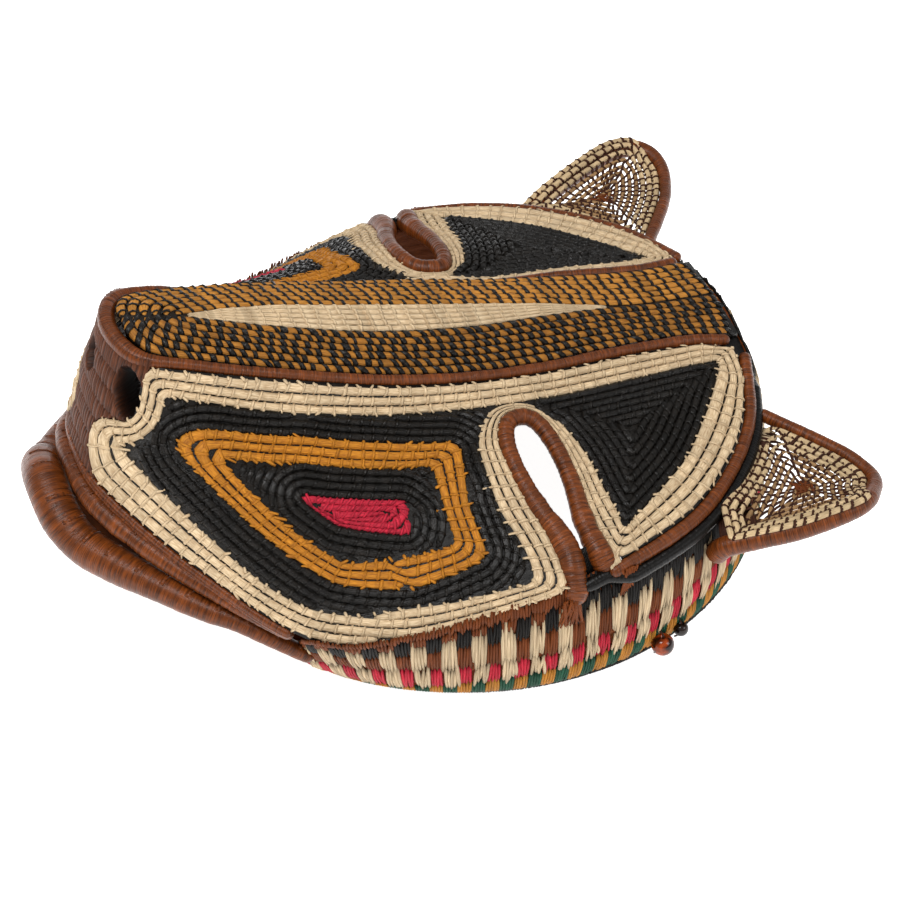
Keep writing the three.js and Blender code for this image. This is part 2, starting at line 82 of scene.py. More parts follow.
def readRows(places, known, rows):
    # rows of values, known at some places, read between them at others
    return np.stack([np.interp(places, known, column) for column in rows.T], -1)


def readCurve(rows, station, before=None):
    # a smooth curve through the rows: at whole stations it is the row itself, between them a cubic
    rows = np.asarray(rows, float)
    if rows.ndim == 1:
        return readCurve(rows[:, None], station)[..., 0]
    first = 2 * rows[0] - rows[1] if before is None else np.asarray(before, float)
    padded = np.vstack([first, rows, 2 * rows[-1] - rows[-2]])
    station = np.asarray(station, float)
    i = np.clip(np.floor(station).astype(int), 0, len(rows) - 2)
    f = (station - i)[..., None]
    p0, p1, p2, p3 = padded[i], padded[i + 1], padded[i + 2], padded[i + 3]
    return 0.5 * (2 * p1 + (p2 - p0) * f + (2 * p0 - 5 * p1 + 4 * p2 - p3) * f ** 2
                  + (3 * p1 - p0 - 3 * p2 + p3) * f ** 3)


def closedCurve(points, count):
    # the same kind of curve through a ring of points, with as many samples between each pair
    points = np.asarray(points, float)
    padded = np.vstack([points[-1], points, points[:2]])
    return readCurve(padded, 1 + np.arange(count) * len(points) / count)


def faceEdge(rows, station):
    # an edge of the face at a station, mirrored below zero so that it runs smoothly over the middle
    x, y, z = rows[1]
    point = readCurve(rows, np.abs(station), (x, -y, z))
    point[..., 1] *= np.where(np.asarray(station) < 0, -1, 1)
    return point


def flatFace(station, share):
    top = faceEdge(face["top"], station)
    return top + (faceEdge(face["foot"], station) - top) * np.asarray(share)[..., None]


def faceNormal(station, share):
    step = 0.002
    du = flatFace(station + step, share) - flatFace(station - step, share)
    dv = flatFace(station, share + step) - flatFace(station, share - step)
    return unit(np.cross(du, dv))


def facePoint(station, share, lift=0.0):
    # a straight line from the top edge to the foot, crowned along the normal, hollowed inwards and
    # down beside the ridge, plus the lift
    far = np.abs(station)
    swell = readCurve(face["swell"], far) * 4 * share * (1 - share)
    hollow = readCurve(face["hollow"], far) * (1 - face["hollowEye"] * np.exp(-((far - 5.5) / 0.45) ** 2))
    hollow = np.maximum(hollow * smooth(share, 0, 0.12) * (1 - smooth(share, 0.13, 0.5)), 0)
    inwards = np.stack([0.25 + 0 * far, -0.72 * np.sign(station), -0.64 + 0 * far], -1)
    return (flatFace(station, share) + faceNormal(station, share) * (swell + lift)[..., None]
            + inwards * hollow[..., None])


def dropAt(x, y):
    # the far side is set lower along the ridge: depth by smooth steps lengthways and away from it
    topX, topY = np.array(face["top"], float).T[:2]
    away = y - np.interp(x, topX, topY)
    lengthways = smooth(x, *face["dropFrom"]) * (1 - smooth(x, *face["dropTo"]))
    return face["drop"] * lengthways * (1 - smooth(away, *face["dropReach"]))


def planSide(rows, station):
    ahead = faceEdge(rows, station + 0.01) - faceEdge(rows, station - 0.01)
    return unit(np.stack([-ahead[..., 1], ahead[..., 0], 0 * ahead[..., 0]], -1))


def besideEdge(rows, station, out, rise=0.0):
    # places beside an edge of the face: so far out from it in plan, and so far above it
    out, rise = np.reshape(out, (-1, 1)), np.reshape(rise, (-1, 1))
    return faceEdge(rows, station) + planSide(rows, station) * out + upright * rise


footStations = np.arange(0.4, 9.01, 0.05)
footLine = faceEdge(face["foot"], footStations)
footAngles = np.arctan2(footLine[:, 1], footLine[:, 0])[::-1]
footRadii = np.hypot(footLine[:, 0], footLine[:, 1])[::-1]
footHeights = footLine[:, 2][::-1]


def bandTop(angle):
    # the height and the reach of the band's top edge, lower under the ridge and along the chin
    turn = np.abs(np.arctan2(np.sin(angle), np.cos(angle)))
    degrees = np.degrees(turn)
    brow = 1 - smooth(degrees, 78, 84)
    ridge = 1 - smooth(degrees, 10, 15.5)
    chin = smooth(degrees, rim["chinFrom"], rim["chinTo"])
    under = rim["below"] + rim["underBrow"] * brow - rim["underRidge"] * ridge
    past = rim["pastCheek"] + (rim["pastBrow"] - rim["pastCheek"]) * brow
    past = past + (rim["pastRidge"] - rim["pastCheek"]) * ridge
    top = np.interp(turn, footAngles, footHeights) - under
    reach = np.interp(turn, footAngles, footRadii) + past
    chinReach = np.interp(rim["chinTop"], rim["heights"], rim["radii"])
    return top + (rim["chinTop"] - top) * chin, reach + (chinReach - reach) * chin


def bandPoint(angle, level, lift=0.0):
    # the rim's profile turned round its axis, flared by (height / top) to the 1.6 to meet the face
    top, reach = bandTop(angle)
    height = np.clip(level, 0, 1.2) * top
    flare = (reach - np.interp(top, rim["heights"], rim["radii"])) * (height / top) ** 1.6
    radius = np.interp(height, rim["heights"], rim["radii"]) + flare + lift
    return polar(radius, angle, height)


def bandNormal(angle, level):
    along = bandPoint(angle + 0.004, level) - bandPoint(angle - 0.004, level)
    upward = bandPoint(angle, level + 0.01) - bandPoint(angle, np.maximum(level - 0.01, 0))
    return unit(np.cross(along, upward))


# Meshes: a bundle gathers points, quads, their places on the thread and a colour for each point, its dye and
# on some pieces painted shade.
strandShift = 17.3


def newBundle():
    return {"points": [], "quads": [], "uv": [], "dyeAndShade": [], "count": 0}


def addPart(bundle, points, quads, uv, dyeAndShade):
    points = points.reshape(-1, 3)
    bundle["points"].append(points)
    bundle["quads"].append(quads + bundle["count"])
    bundle["uv"].append(uv)
    bundle["dyeAndShade"].append(np.broadcast_to(dyeAndShade, points.shape))
    bundle["count"] += len(points)


def gridQuads(rows, columns, closedColumns=False):
    i = np.arange(rows - 1)[:, None] * columns
    j = np.arange(columns if closedColumns else columns - 1)[None, :]
    after = (j + 1) % columns
    corners = np.broadcast_arrays(i + j, i + columns + j, i + columns + after, i + after)
    return np.stack(corners, -1).reshape(-1, 4)


def gridUv(u, v):
    uv = np.stack(np.meshgrid(u, v, indexing="ij"), -1)
    return np.stack([uv[:-1, :-1], uv[1:, :-1], uv[1:, 1:], uv[:-1, 1:]], 2).reshape(-1, 4, 2)


def capQuads(sides):
    k = np.arange(sides // 2 - 1)
    return np.stack([k, k + 1, sides - 2 - k, sides - 1 - k], 1)


def addStrands(bundle, centre, up, width, height, dyeAndShade=(1, 1, 1), sides=4):
    # closed tubes, many at once: centre and up are strand by ring by 3, and a ring's points are
    # centre + side * width * cos(turn) + up * height * sin(turn)
    count, rings = centre.shape[:2]
    tangent = unit(np.gradient(centre, axis=1))
    up = unit(up - tangent * (up * tangent).sum(-1, keepdims=True))
    side = np.cross(tangent, up)
    turn = np.arange(sides) * 2 * math.pi / sides
    across, above = np.cos(turn), np.sin(turn)
    if sides == 8:
        across = np.sign(across) * np.abs(across) ** 0.75
        above = np.sign(above) * np.abs(above) ** 0.75
    width = np.broadcast_to(width, (count, rings))[..., None]
    height = np.broadcast_to(height, (count, rings))[..., None]
    points = (centre[:, :, None] + side[:, :, None] * (width * across)[..., None]
              + up[:, :, None] * (height * above)[..., None])
    cap = capQuads(sides)
    template = np.vstack([gridQuads(rings, sides, True), cap, cap[:, ::-1] + (rings - 1) * sides])
    quads = (template[None] + (np.arange(count) * rings * sides)[:, None, None]).reshape(-1, 4)
    # the thread's places: along the strand, round it, and each strand shifted so that its tone differs
    around = np.arange(sides + 1) / sides * 2 * math.pi * float(np.mean(width + height)) / 2
    one = np.vstack([gridUv(travelAlong(centre[0]), around), np.zeros((2 * len(cap), 4, 2))])
    shift = np.arange(count)[:, None, None, None] * np.array([strandShift, 0.0])
    uv = (one[None] + shift).reshape(-1, 4, 2)
    dyeAndShade = np.asarray(dyeAndShade, float)
    if dyeAndShade.ndim == 2:
        dyeAndShade = np.repeat(dyeAndShade, rings * sides, axis=0)
    if dyeAndShade.ndim == 3:
        dyeAndShade = np.repeat(dyeAndShade.reshape(-1, 3), sides, axis=0)
    addPart(bundle, points, quads, uv, dyeAndShade)


def addShell(bundle, outer, inner, u, v, dyeAndShade=(1, 1, 1), keep=None):
    # two grids of points a wall apart, joined round every edge of the cells that are kept
    rows, columns = outer.shape[:2]
    keep = np.ones((rows - 1, columns - 1), bool) if keep is None else keep
    index = np.arange(rows * columns).reshape(rows, columns)
    a, b = index[:-1, :-1], index[1:, :-1]
    c, d = index[1:, 1:], index[:-1, 1:]
    size = rows * columns
    padded = np.pad(keep, 1)
    uv = np.stack(np.meshgrid(u, v, indexing="ij"), -1).reshape(-1, 2)
    faces = [np.stack([a, b, c, d], -1)[keep], np.stack([d, c, b, a], -1)[keep] + size]
    for gone, one, two in ((~padded[:-2, 1:-1], a, d), (~padded[2:, 1:-1], c, b),
                           (~padded[1:-1, :-2], b, a), (~padded[1:-1, 2:], d, c)):
        wall = keep & gone
        faces.append(np.stack([one[wall], two[wall], two[wall] + size, one[wall] + size], -1))
    quads = np.vstack(faces)
    addPart(bundle, np.concatenate([outer.reshape(-1, 3), inner.reshape(-1, 3)]), quads,
            np.vstack([uv, uv])[quads], dyeAndShade)


def mirrored(bundle):
    # the same bundle on the other side, its faces turned so that they still look outwards
    return {"points": [p * (1, -1, 1) for p in bundle["points"]],
            "quads": [q[:, ::-1] for q in bundle["quads"]],
            "uv": [m[:, ::-1] for m in bundle["uv"]],
            "dyeAndShade": bundle["dyeAndShade"], "count": bundle["count"]}


rimPoints = np.array([vertex.co[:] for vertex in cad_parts["head_band"].data.vertices])
lowest = rimPoints[rimPoints[:, 2] < rimPoints[:, 2].min() + 1e-4]
rimPlace = np.append((lowest.min(0) + lowest.max(0))[:2] / 2, 0)


def toScene(points):
    return np.asarray(points, float) / 1000 + rimPlace


def finishPiece(name, bundle, material, slot, *nodes):
    points = toScene(np.vstack(bundle["points"]))
    quads = np.vstack(bundle["quads"])
    used = np.unique(quads)
    renumber = np.zeros(len(points), int)
    renumber[used] = np.arange(len(used))
    points, quads = points[used], renumber[quads]
    dyeAndShade = np.vstack(bundle["dyeAndShade"])[used]
    mesh = bpy.data.meshes.new(name)
    mesh.vertices.add(len(points))
    mesh.vertices.foreach_set("co", points.ravel())
    mesh.loops.add(quads.size)
    mesh.loops.foreach_set("vertex_index", quads.ravel().astype(np.int32))
    mesh.polygons.add(len(quads))
    mesh.polygons.foreach_set("loop_start", np.arange(0, quads.size, 4, dtype=np.int32))
    mesh.polygons.foreach_set("use_smooth", np.ones(len(quads), bool))
    mesh.update(calc_edges=True)
    places = mesh.uv_layers.new(name="thread")
    places.uv.foreach_set("vector", np.vstack(bundle["uv"]).reshape(-1).astype(np.float32))
    dyeAndShadeLayer = mesh.color_attributes.new("dyeAndShade", "FLOAT_COLOR", "POINT")
    dyeAndShadeLayer.data.foreach_set("color", np.hstack([dyeAndShade, np.ones((len(dyeAndShade), 1))]).ravel().astype(np.float32))
    mesh.materials.append(material)
    piece = bpy.data.objects.new(name, mesh)
    bpy.context.collection.objects.link(piece)
    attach(piece, "root")
    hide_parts(*nodes)
    print(f"{name}: {2 * len(quads)} triangles")
    return piece


def joined(one, two):
    # two bundles as one, the second's quads renumbered past the first's points
    both = {key: one[key] + two[key] for key in ("points", "uv", "dyeAndShade")}
    both["quads"] = one["quads"] + [quads + one["count"] for quads in two["quads"]]
    both["count"] = one["count"] + two["count"]
    return both


def dropped(bundle):
    points = [p - upright * dropAt(p[:, 0], p[:, 1])[:, None] for p in bundle["points"]]
    return dict(bundle, points=points)


def finishBoth(name, bundle, material, slot, node, right=None):
    finishPiece(name + "_right", bundle if right is None else right, material, slot, node + "_right")
    finishPiece(name + "_left", mirrored(bundle), material, slot, node + "_left")


# Finishes
def colour(red, green, blue):
    # an sRGB colour of 0 to 255 as linear light
    c = np.array([red, green, blue]) / 255
    return np.where(c < 0.04045, c / 12.92, ((c + 0.055) / 1.055) ** 2.4)


dyes = {
    "cream": colour(206, 184, 150), "creamDark": colour(160, 132, 98),
    "orange": colour(184, 120, 30), "orangeDark": colour(132, 76, 16),
    "pink": colour(190, 34, 56), "pinkDark": colour(120, 16, 34),
    "green": colour(24, 78, 56), "gold": colour(190, 128, 44),
    "brown": colour(116, 58, 20), "brownDark": colour(54, 25, 9),
    "black": colour(24, 20, 16), "blackDark": colour(8, 7, 6),
    "net": colour(62, 33, 20),
}


def newMaterial(name):
    material = bpy.data.materials.new(name)
    material.use_nodes = True
    return material, material.node_tree, material.node_tree.nodes["Principled BSDF"]


def fill(tree, node, inputs):
    # each input takes a value, or a wire from another node's output
    for socket, value in inputs.items():
        if isinstance(value, bpy.types.NodeSocket):
            tree.links.new(value, node.inputs[socket])
        else:
            node.inputs[socket].default_value = value


def addNode(tree, kind, inputs, output=0, **settings):
    node = tree.nodes.new("ShaderNode" + kind)
    for setting, value in settings.items():
        setattr(node, setting, value)
    fill(tree, node, inputs)
    return node.outputs[output]


def blended(tree, amount, dark, light):
    return addNode(tree, "Mix", {"Factor": amount, "A": (*dark, 1), "B": (*light, 1)}, "Result",
                   data_type="RGBA")


def fibre(name, light, dark, settings):
    # fine fibres along the thread: stretched noise tints and lifts them, and each cell has its tone
    material, tree, shader = newMaterial(name)
    place = addNode(tree, "UVMap", {}, uv_map="thread")
    stretch = addNode(tree, "Mapping", {"Vector": place, "Scale": (settings["along"], settings["across"], 1)})
    noise = addNode(tree, "TexNoise", {"Vector": stretch, "Scale": 1, "Detail": 3}, "Fac")
    ramp = addNode(tree, "MapRange", {"Value": noise, "From Min": 0.3, "From Max": 0.65}, "Result")
    along = addNode(tree, "SeparateXYZ", {"Vector": place}, "X")
    cell = addNode(tree, "Math", {0: along, 1: settings["cell"]}, operation="DIVIDE")
    whole = addNode(tree, "Math", {0: cell}, operation="FLOOR")
    chance = addNode(tree, "TexWhiteNoise", {"W": whole}, "Value", noise_dimensions="1D")
    tone = addNode(tree, "MapRange", {"Value": chance, "To Min": 1 - settings["tone"],
                                      "To Max": 1 + settings["tone"] * 0.6}, "Result")
    toned = addNode(tree, "VectorMath", {0: blended(tree, ramp, dark, light), "Scale": tone}, "Vector",
                    operation="SCALE")
    # the per-point colour multiplies in: the thread's dye, with the painted shade that some pieces carry in
    # it
    dyeAndShade = addNode(tree, "VertexColor", {}, "Color", layer_name="dyeAndShade")
    dyedAndShaded = addNode(tree, "VectorMath", {0: toned, 1: dyeAndShade}, "Vector", operation="MULTIPLY")
    bump = addNode(tree, "Bump", {"Strength": settings["bump"], "Distance": 0.0004, "Height": noise},
                   "Normal")
    fill(tree, shader, {"Base Color": dyedAndShaded, "Normal": bump, "Roughness": settings["rough"],
                        "Specular IOR Level": settings["gloss"]})
    return material


def mottled(name, light, dark, settings):
    # two colours that drift into each other with soft noise in the object's own space
    material, tree, shader = newMaterial(name)
    place = addNode(tree, "TexCoord", {}, "Object")
    noise = addNode(tree, "TexNoise", {"Vector": place, "Scale": settings["scale"]}, "Fac")
    ramp = addNode(tree, "MapRange", {"Value": noise, "From Min": settings["span"][0],
                                      "From Max": settings["span"][1]}, "Result")
    fill(tree, shader, {"Base Color": blended(tree, ramp, dark, light), "Roughness": settings["rough"],
                        "Specular IOR Level": settings["gloss"]})
    return material


rowFibre = {"along": 0.3, "across": 2.6, "cell": 5.5, "tone": 0.16, "bump": 1.0, "rough": 0.6, "gloss": 0.2}
wrapFibre = {"along": 2.4, "across": 0.16, "cell": 9.0, "tone": 0.14, "bump": 0.8, "rough": 0.3, "gloss": 0.2}
blackFibre = dict(rowFibre, tone=0.4, rough=0.26, gloss=0.22)

creamThread = fibre("cream_thread", dyes["cream"], dyes["creamDark"], rowFibre)
orangeThread = fibre("orange_thread", dyes["orange"], dyes["orangeDark"], rowFibre)
goldThread = fibre("gold_thread", colour(184, 126, 50), colour(132, 82, 28), dict(rowFibre, tone=0.25))
pinkThread = fibre("pink_thread", dyes["pink"], dyes["pinkDark"], rowFibre)
blackThreadAndShade = fibre("black_thread", dyes["black"], dyes["blackDark"], blackFibre)
brownWrap = fibre("brown_wrap", dyes["brown"], dyes["brownDark"], wrapFibre)
blackWrap = fibre("black_wrap", dyes["black"] * 0.5, dyes["blackDark"] * 0.4, dict(wrapFibre, gloss=0.16))
dyedShadedThread = fibre("dyed_shaded_thread", (1.0, 1.0, 1.0), (0.55, 0.51, 0.47),
                   dict(rowFibre, cell=strandShift, gloss=0.15))


# Rows of coil
def sampleAlong(path, step, up, size):
    # even steps along a polyline, with the way up and the size read at the same places
    travel = travelAlong(path)
    at = np.linspace(0, travel[-1], max(int(travel[-1] / step), 4) + 1)
    up, size = np.broadcast_to(up, path.shape), np.broadcast_to(size, len(path))
    return at, readRows(at, travel, path), readRows(at, travel, up), np.interp(at, travel, size)


def looseMarks(draw, count, length, loose=0.15):
    # even places along a length, each a little off
    return (np.arange(count) + 0.5 + draw.uniform(-loose, loose, count)) * length / count


def addRow(bundle, path, up, half, settings, seed=1, dyeAndShade=(1, 1, 1), stitches=None, stitchDye=(1, 1, 1),
           marks=None):
    # one row of coil, tapered at its ends, with its wrapping stitches across it at the marks
    at, line, normal, width = sampleAlong(path, settings["step"], up, half)
    taper = np.clip(np.minimum(at, at[-1] - at) / 5, 0, 1) ** 0.5 * 0.75 + 0.25
    draw = np.random.default_rng(seed)
    knots = max(int(at[-1] / 7), 2)
    wobble = np.interp(at, np.linspace(0, at[-1], knots), draw.normal(0, settings["wobble"], knots))
    width = width * taper * (1 + wobble)
    height = np.minimum(settings["height"], width * 1.2) * taper
    addStrands(bundle, line[None], normal[None], width[None], height[None], dyeAndShade, settings["sides"])
    if marks is None:
        marks = looseMarks(draw, max(int(at[-1] / settings["pitch"]), 1), at[-1])
    count = len(marks)
    tangent = unit(np.gradient(line, axis=0))
    spot, up, ahead = (readRows(marks, at, rows)[:, None] for rows in (line, normal, tangent))
    up, ahead = unit(up), unit(ahead)
    reach = np.interp(marks, at, width)[:, None, None]
    tall = np.interp(marks, at, height)[:, None, None]
    side = np.cross(ahead, up)
    turn = np.linspace(-1, 1, 5)[None, :, None] * math.radians(settings["arc"])
    slant = settings["slant"] * (1 + draw.normal(0, 0.3, (count, 1, 1))) * turn / 1.6
    slim = np.clip(reach / 1.4, 0.4, 1)
    proud = settings["proud"] * slim
    centre = (spot + side * (reach + proud) * np.sin(turn) + up * (tall + proud) * np.cos(turn)
              + ahead * slant)
    outward = side * np.sin(turn) + up * np.cos(turn)
    thick = settings["thread"] * (1 + draw.normal(0, 0.14, (count, 1))) * slim[:, :, 0]
    addStrands(bundle if stitches is None else stitches, centre, outward, thick,
               settings["threadHigh"] * slim[:, :, 0], stitchDye)


def readRing(ring, fraction):
    # a closed ring of samples read between them
    place = np.asarray(fraction) % 1 * len(ring)
    i = np.floor(place).astype(int) % len(ring)
    return ring[i] + (ring[(i + 1) % len(ring)] - ring[i]) * (place - np.floor(place))[:, None]


def ringMarks(outer, inner, pitch, seed):
    # even steps along the middle of a border, as fractions of its turn, with a little jitter
    middle = (outer + inner) / 2
    line = facePoint(*np.vstack([middle, middle[:1]]).T)
    travel = travelAlong(line)
    count = int(travel[-1] / pitch)
    jitter = np.random.default_rng(seed).uniform(-0.16, 0.16, count)
    return np.interp((np.arange(count) + 0.3 + jitter) * travel[-1] / count, travel,
                     np.arange(len(line)) / len(outer))


def faceRows(bundle, outer, inner, rows, settings, seed, start, ramp=0.06, marks=None):
    # one spiral of rows between two outlines: each turn keeps to its row, then moves in by one
    samples = len(outer)
    phase = np.arange(-int(0.45 * ramp * samples), int((rows - 0.4 * ramp) * samples)) / samples
    turn = np.clip(np.floor(phase), 0, rows - 1)
    part = phase - turn
    depth = (turn + 0.5 + np.where(turn < rows - 1, smooth(part, 1 - ramp, 1), 0)) / rows
    outerAt, innerAt = readRing(outer, start + part), readRing(inner, start + part)

    def at(depth, lift=0.0):
        spot = outerAt + (innerAt - outerAt) * depth[:, None]
        return spot, facePoint(spot[:, 0], spot[:, 1], lift)

    spot, path = at(depth, settings["lift"])
    across = at(depth + 0.5 / rows)[1] - at(depth - 0.5 / rows)[1]
    tangent = unit(np.gradient(path, axis=0))
    across = across - tangent * (across * tangent).sum(-1, keepdims=True)
    half = np.clip(np.linalg.norm(across, axis=1) / 2 * settings["fill"], 0.5, settings["widest"])
    normal = faceNormal(spot[:, 0], spot[:, 1])
    if marks is not None:
        every = np.sort((np.arange(-1, rows + 1)[:, None] + (marks - start)[None] % 1).ravel())
        marks = np.interp(every[(every > phase[0]) & (every < phase[-1])], phase, travelAlong(path))
    addRow(bundle, path, normal, half, settings, seed, marks=marks)


def addTicks(bundle, outer, inner, marks, near, far, lifts, seed):
    # the ends of the stitches: short strands that start on the border and lie over its neighbour
    draw = np.random.default_rng(seed)
    outerAt, innerAt = readRing(outer, marks), readRing(inner, marks)
    reach = near + (far - near) * np.linspace(0, 1, 4)[None] * draw.uniform(0.7, 1.1, (len(marks), 1))
    lean = draw.normal(0, 0.004, (len(marks), 1)) * np.linspace(0, 1, 4)
    spot = outerAt[:, None] + (innerAt - outerAt)[:, None] * reach[..., None]
    width = np.linalg.norm(facePoint(*innerAt.T) - facePoint(*outerAt.T), axis=1)
    wide = width > 6
    centre = facePoint(spot[..., 0] + lean * 8, spot[..., 1], np.array(lifts))
    up = faceNormal(spot[..., 0], spot[..., 1])
    size = coil["tick"] * draw.uniform(0.75, 1.2, (len(marks), 1)) * np.array([1, 1, 1, 0.8])
    addStrands(bundle, centre[wide], up[wide], size[wide], 0.3)


def farFrom(rays, outline):
    # how far each place on the rays is from the outline, never falling along a ray
    far = np.linalg.norm(rays[:, :, None] - outline[None, None, ::2], axis=-1).min(-1)
    far[:, 0] = 0
    return np.maximum.accumulate(far, axis=1)


def shareAt(far, t, level):
    # the share of each ray where its distance reaches the level
    number = np.arange(len(far))
    k = np.clip((far < level[:, None]).sum(1), 1, len(t) - 1)
    f = (level - far[number, k - 1]) / np.maximum(far[number, k] - far[number, k - 1], 1e-6)
    return t[k - 1] + np.clip(f, 0, 1) * (t[1] - t[0])


def contourRows(bundle, start, end, pitch, turns, settings, seed):
    # a spiral at even distances from the start outline, broken where the end outline leaves no room
    samples = len(start)
    t = np.linspace(0, 1, 50)
    spots = start[:, None] + (end - start)[:, None] * t[None, :, None]
    points = facePoint(spots[..., 0], spots[..., 1])
    turn, ray = np.divmod(np.arange(turns * samples), samples)
    level = (turn + 0.5 + smooth(ray / samples, 0.94, 1)) * pitch
    far = farFrom(points, points[:, 0])[ray]
    spot = start[ray] + (end - start)[ray] * shareAt(far, t, level)[:, None]
    room = far[:, -1] - level > 0.25 * pitch
    for run in np.split(np.arange(len(ray)), np.flatnonzero(np.diff(room.astype(int))) + 1):
        path = facePoint(spot[run, 0], spot[run, 1], settings["lift"])
        if room[run[0]] and len(run) > 5 and travelAlong(path)[-1] > 6:
            normal = faceNormal(spot[run, 0], spot[run, 1])
            addRow(bundle, path, normal, pitch / 2 * settings["fill"], settings, seed + run[0])


# The side of the face: border, black cheek, orange ring, leaf and black forehead.
# Each point of the border is [outer station, outer share, inner station, inner share].
side = {
    "border": [
        (1.23, 0.02, 1.6, 0.16), (1.75, 0, 1.95, 0.14), (2.6, 0, 2.65, 0.13), (3.5, 0, 3.5, 0.12),
        (4.4, 0, 4.4, 0.12), (5.0, 0, 5.0, 0.125), (5.5, 0, 5.5, 0.125), (6.0, 0, 6.0, 0.13),
        (6.9, 0, 6.9, 0.145), (7.7, 0, 7.7, 0.18), (8.5, 0, 8.2, 0.24), (8.95, 0.2, 8.4, 0.3),
        (8.78, 1, 8.32, 0.38), (8.35, 1, 8.0, 0.5), (7.9, 1, 7.6, 0.63), (7.4, 1, 7.2, 0.73),
        (6.9, 1, 6.75, 0.79), (6.4, 1, 6.35, 0.85), (5.98, 1, 6.16, 0.88),
        (5.88, 0.88, 6.15, 0.78), (5.86, 0.74, 6.12, 0.65), (5.88, 0.56, 6.1, 0.49),
        (5.87, 0.37, 6.01, 0.33), (5.74, 0.22, 5.84, 0.19), (5.53, 0.163, 5.52, 0.128),
        (5.27, 0.185, 5.15, 0.15), (5.11, 0.3, 4.9, 0.27), (5.13, 0.46, 4.86, 0.44),
        (5.2, 0.63, 4.88, 0.6), (5.28, 0.78, 4.96, 0.74), (5.31, 0.91, 5.0, 0.85),
        (5.26, 1.01, 4.95, 0.925),
        (4.85, 1.01, 4.7, 0.92), (4.45, 1, 4.37, 0.905), (4.0, 1, 3.95, 0.885), (3.5, 1, 3.45, 0.885),
        (3.0, 1, 2.95, 0.88), (2.5, 1, 2.5, 0.85), (2.0, 1, 2.1, 0.79), (1.5, 1, 1.75, 0.72),
        (1.05, 1, 1.4, 0.665), (0.76, 1, 1.22, 0.635), (0.53, 0.9, 1.15, 0.61),
        (0.43, 0.75, 1.12, 0.59), (0.58, 0.58, 1.14, 0.57), (0.86, 0.48, 1.22, 0.54),
        (1.08, 0.42, 1.33, 0.47), (1.21, 0.29, 1.48, 0.36), (1.2, 0.15, 1.55, 0.26),
    ],
    "neck": (6, 24),          # points of the border where the top run and the eye loop touch
    "ringOuter": [(1.71, 0.42), (1.79, 0.33), (2.1, 0.26), (3.07, 0.21), (3.87, 0.23), (4.7, 0.27),
                  (4.62, 0.54), (4.68, 0.78), (4.0, 0.82), (3.26, 0.77), (2.51, 0.63)],
    "ringInner": [(2.21, 0.38), (3.04, 0.32), (3.83, 0.34), (4.35, 0.35), (4.43, 0.69), (4.09, 0.69),
                  (3.37, 0.69), (2.83, 0.57)],
    "leaf": [(2.94, 0.44), (3.5, 0.45), (4.03, 0.47), (4.09, 0.56), (4.05, 0.61), (3.34, 0.55)],
    "leafMiddle": (3.6, 0.52), "browMiddle": (6.75, 0.42),
    "borderRows": 3, "ringRows": 3, "leafRows": 3, "blackPitch": 3.1,
}
chartScale = (30.0, 80.0)      # about so many millimetres to one station and to one share
coil = {"step": 2.0, "sides": 8, "height": 1.4, "wobble": 0.06, "lift": 0.4, "fill": 0.89, "widest": 3.0,
        "pitch": 5.3, "thread": 0.58, "threadHigh": 0.32, "tick": 0.55, "arc": 108, "proud": 0.28,
        "slant": 0.5}


def ringFrom(outline, middle, count=360):
    # an outline read on rays from the middle: the furthest place where each ray meets a side
    scale = np.array(chartScale)
    a = (np.asarray(outline, float) - middle) * scale
    edge = np.roll(a, -1, axis=0) - a
    turn = np.arange(count) / count * 2 * math.pi
    ray = np.stack([np.cos(turn), np.sin(turn)], -1)[:, None]
    cross = edge[None, :, 0] * ray[..., 1] - edge[None, :, 1] * ray[..., 0]
    t = -(a[None, :, 0] * ray[..., 1] - a[None, :, 1] * ray[..., 0]) / np.where(cross == 0, 1e-9, cross)
    reach = ((a + edge * t[..., None]) * ray).sum(-1)
    reach = np.where((t >= 0) & (t <= 1), reach, -1e9).max(axis=1)
    reach = np.convolve(np.r_[reach[-4:], reach, reach[:4]], np.ones(9) / 9, "valid")
    return np.asarray(middle) + ray[:, 0] * reach[:, None] / scale


def inside(outline, x, y):
    # even-odd test: how many sides of the outline lie to the right of each point
    a = np.asarray(outline)
    b = np.roll(a, -1, axis=0)
    x, y = x[..., None], y[..., None]
    spans = (a[:, 1] > y) != (b[:, 1] > y)
    rise = np.where(b[:, 1] == a[:, 1], 1e-9, b[:, 1] - a[:, 1])
    return (spans & (x < a[:, 0] + (b[:, 0] - a[:, 0]) * (y - a[:, 1]) / rise)).sum(-1) % 2 == 1


perPoint = 20      # samples between two points of the border
borderTable = np.array(side["border"])
samples = perPoint * len(borderTable)
borderOuter = closedCurve(borderTable[:, :2], samples)
borderInner = closedCurve(borderTable[:, 2:], samples)

cream, black, orange, pink, gapShadeLiner = (newBundle() for _ in range(5))
borderMarks = ringMarks(borderOuter, borderInner, coil["pitch"], 4)
borderStart = 35.4 / len(borderTable)      # the spiral starts low on the cheek, as a share of its turn
tickLifts = (1.75, 1.7, 1.6, 1.4)
faceRows(cream, borderOuter, borderInner, side["borderRows"], coil, 3, borderStart, 0.03, borderMarks)
addTicks(cream, borderOuter, borderInner, borderMarks, 0.1, -0.06, (1.75, 1.7, 1.3, 0.8), 10)
addTicks(cream, borderOuter, borderInner, borderMarks, 0.9, 1.06, tickLifts, 11)
neckTop, neckLoop = (perPoint * i for i in side["neck"])
cheekEdge = np.vstack([borderInner[neckLoop:], borderInner[:neckTop + 1]])
browEdge = borderInner[neckTop:neckLoop + 1]
leafMiddle, browMiddle = np.array(side["leafMiddle"]), np.array(side["browMiddle"])
cheekRing = ringFrom(cheekEdge, leafMiddle)
ringOuter, ringInner, leafRing = (ringFrom(side[key], leafMiddle)
                                  for key in ("ringOuter", "ringInner", "leaf"))
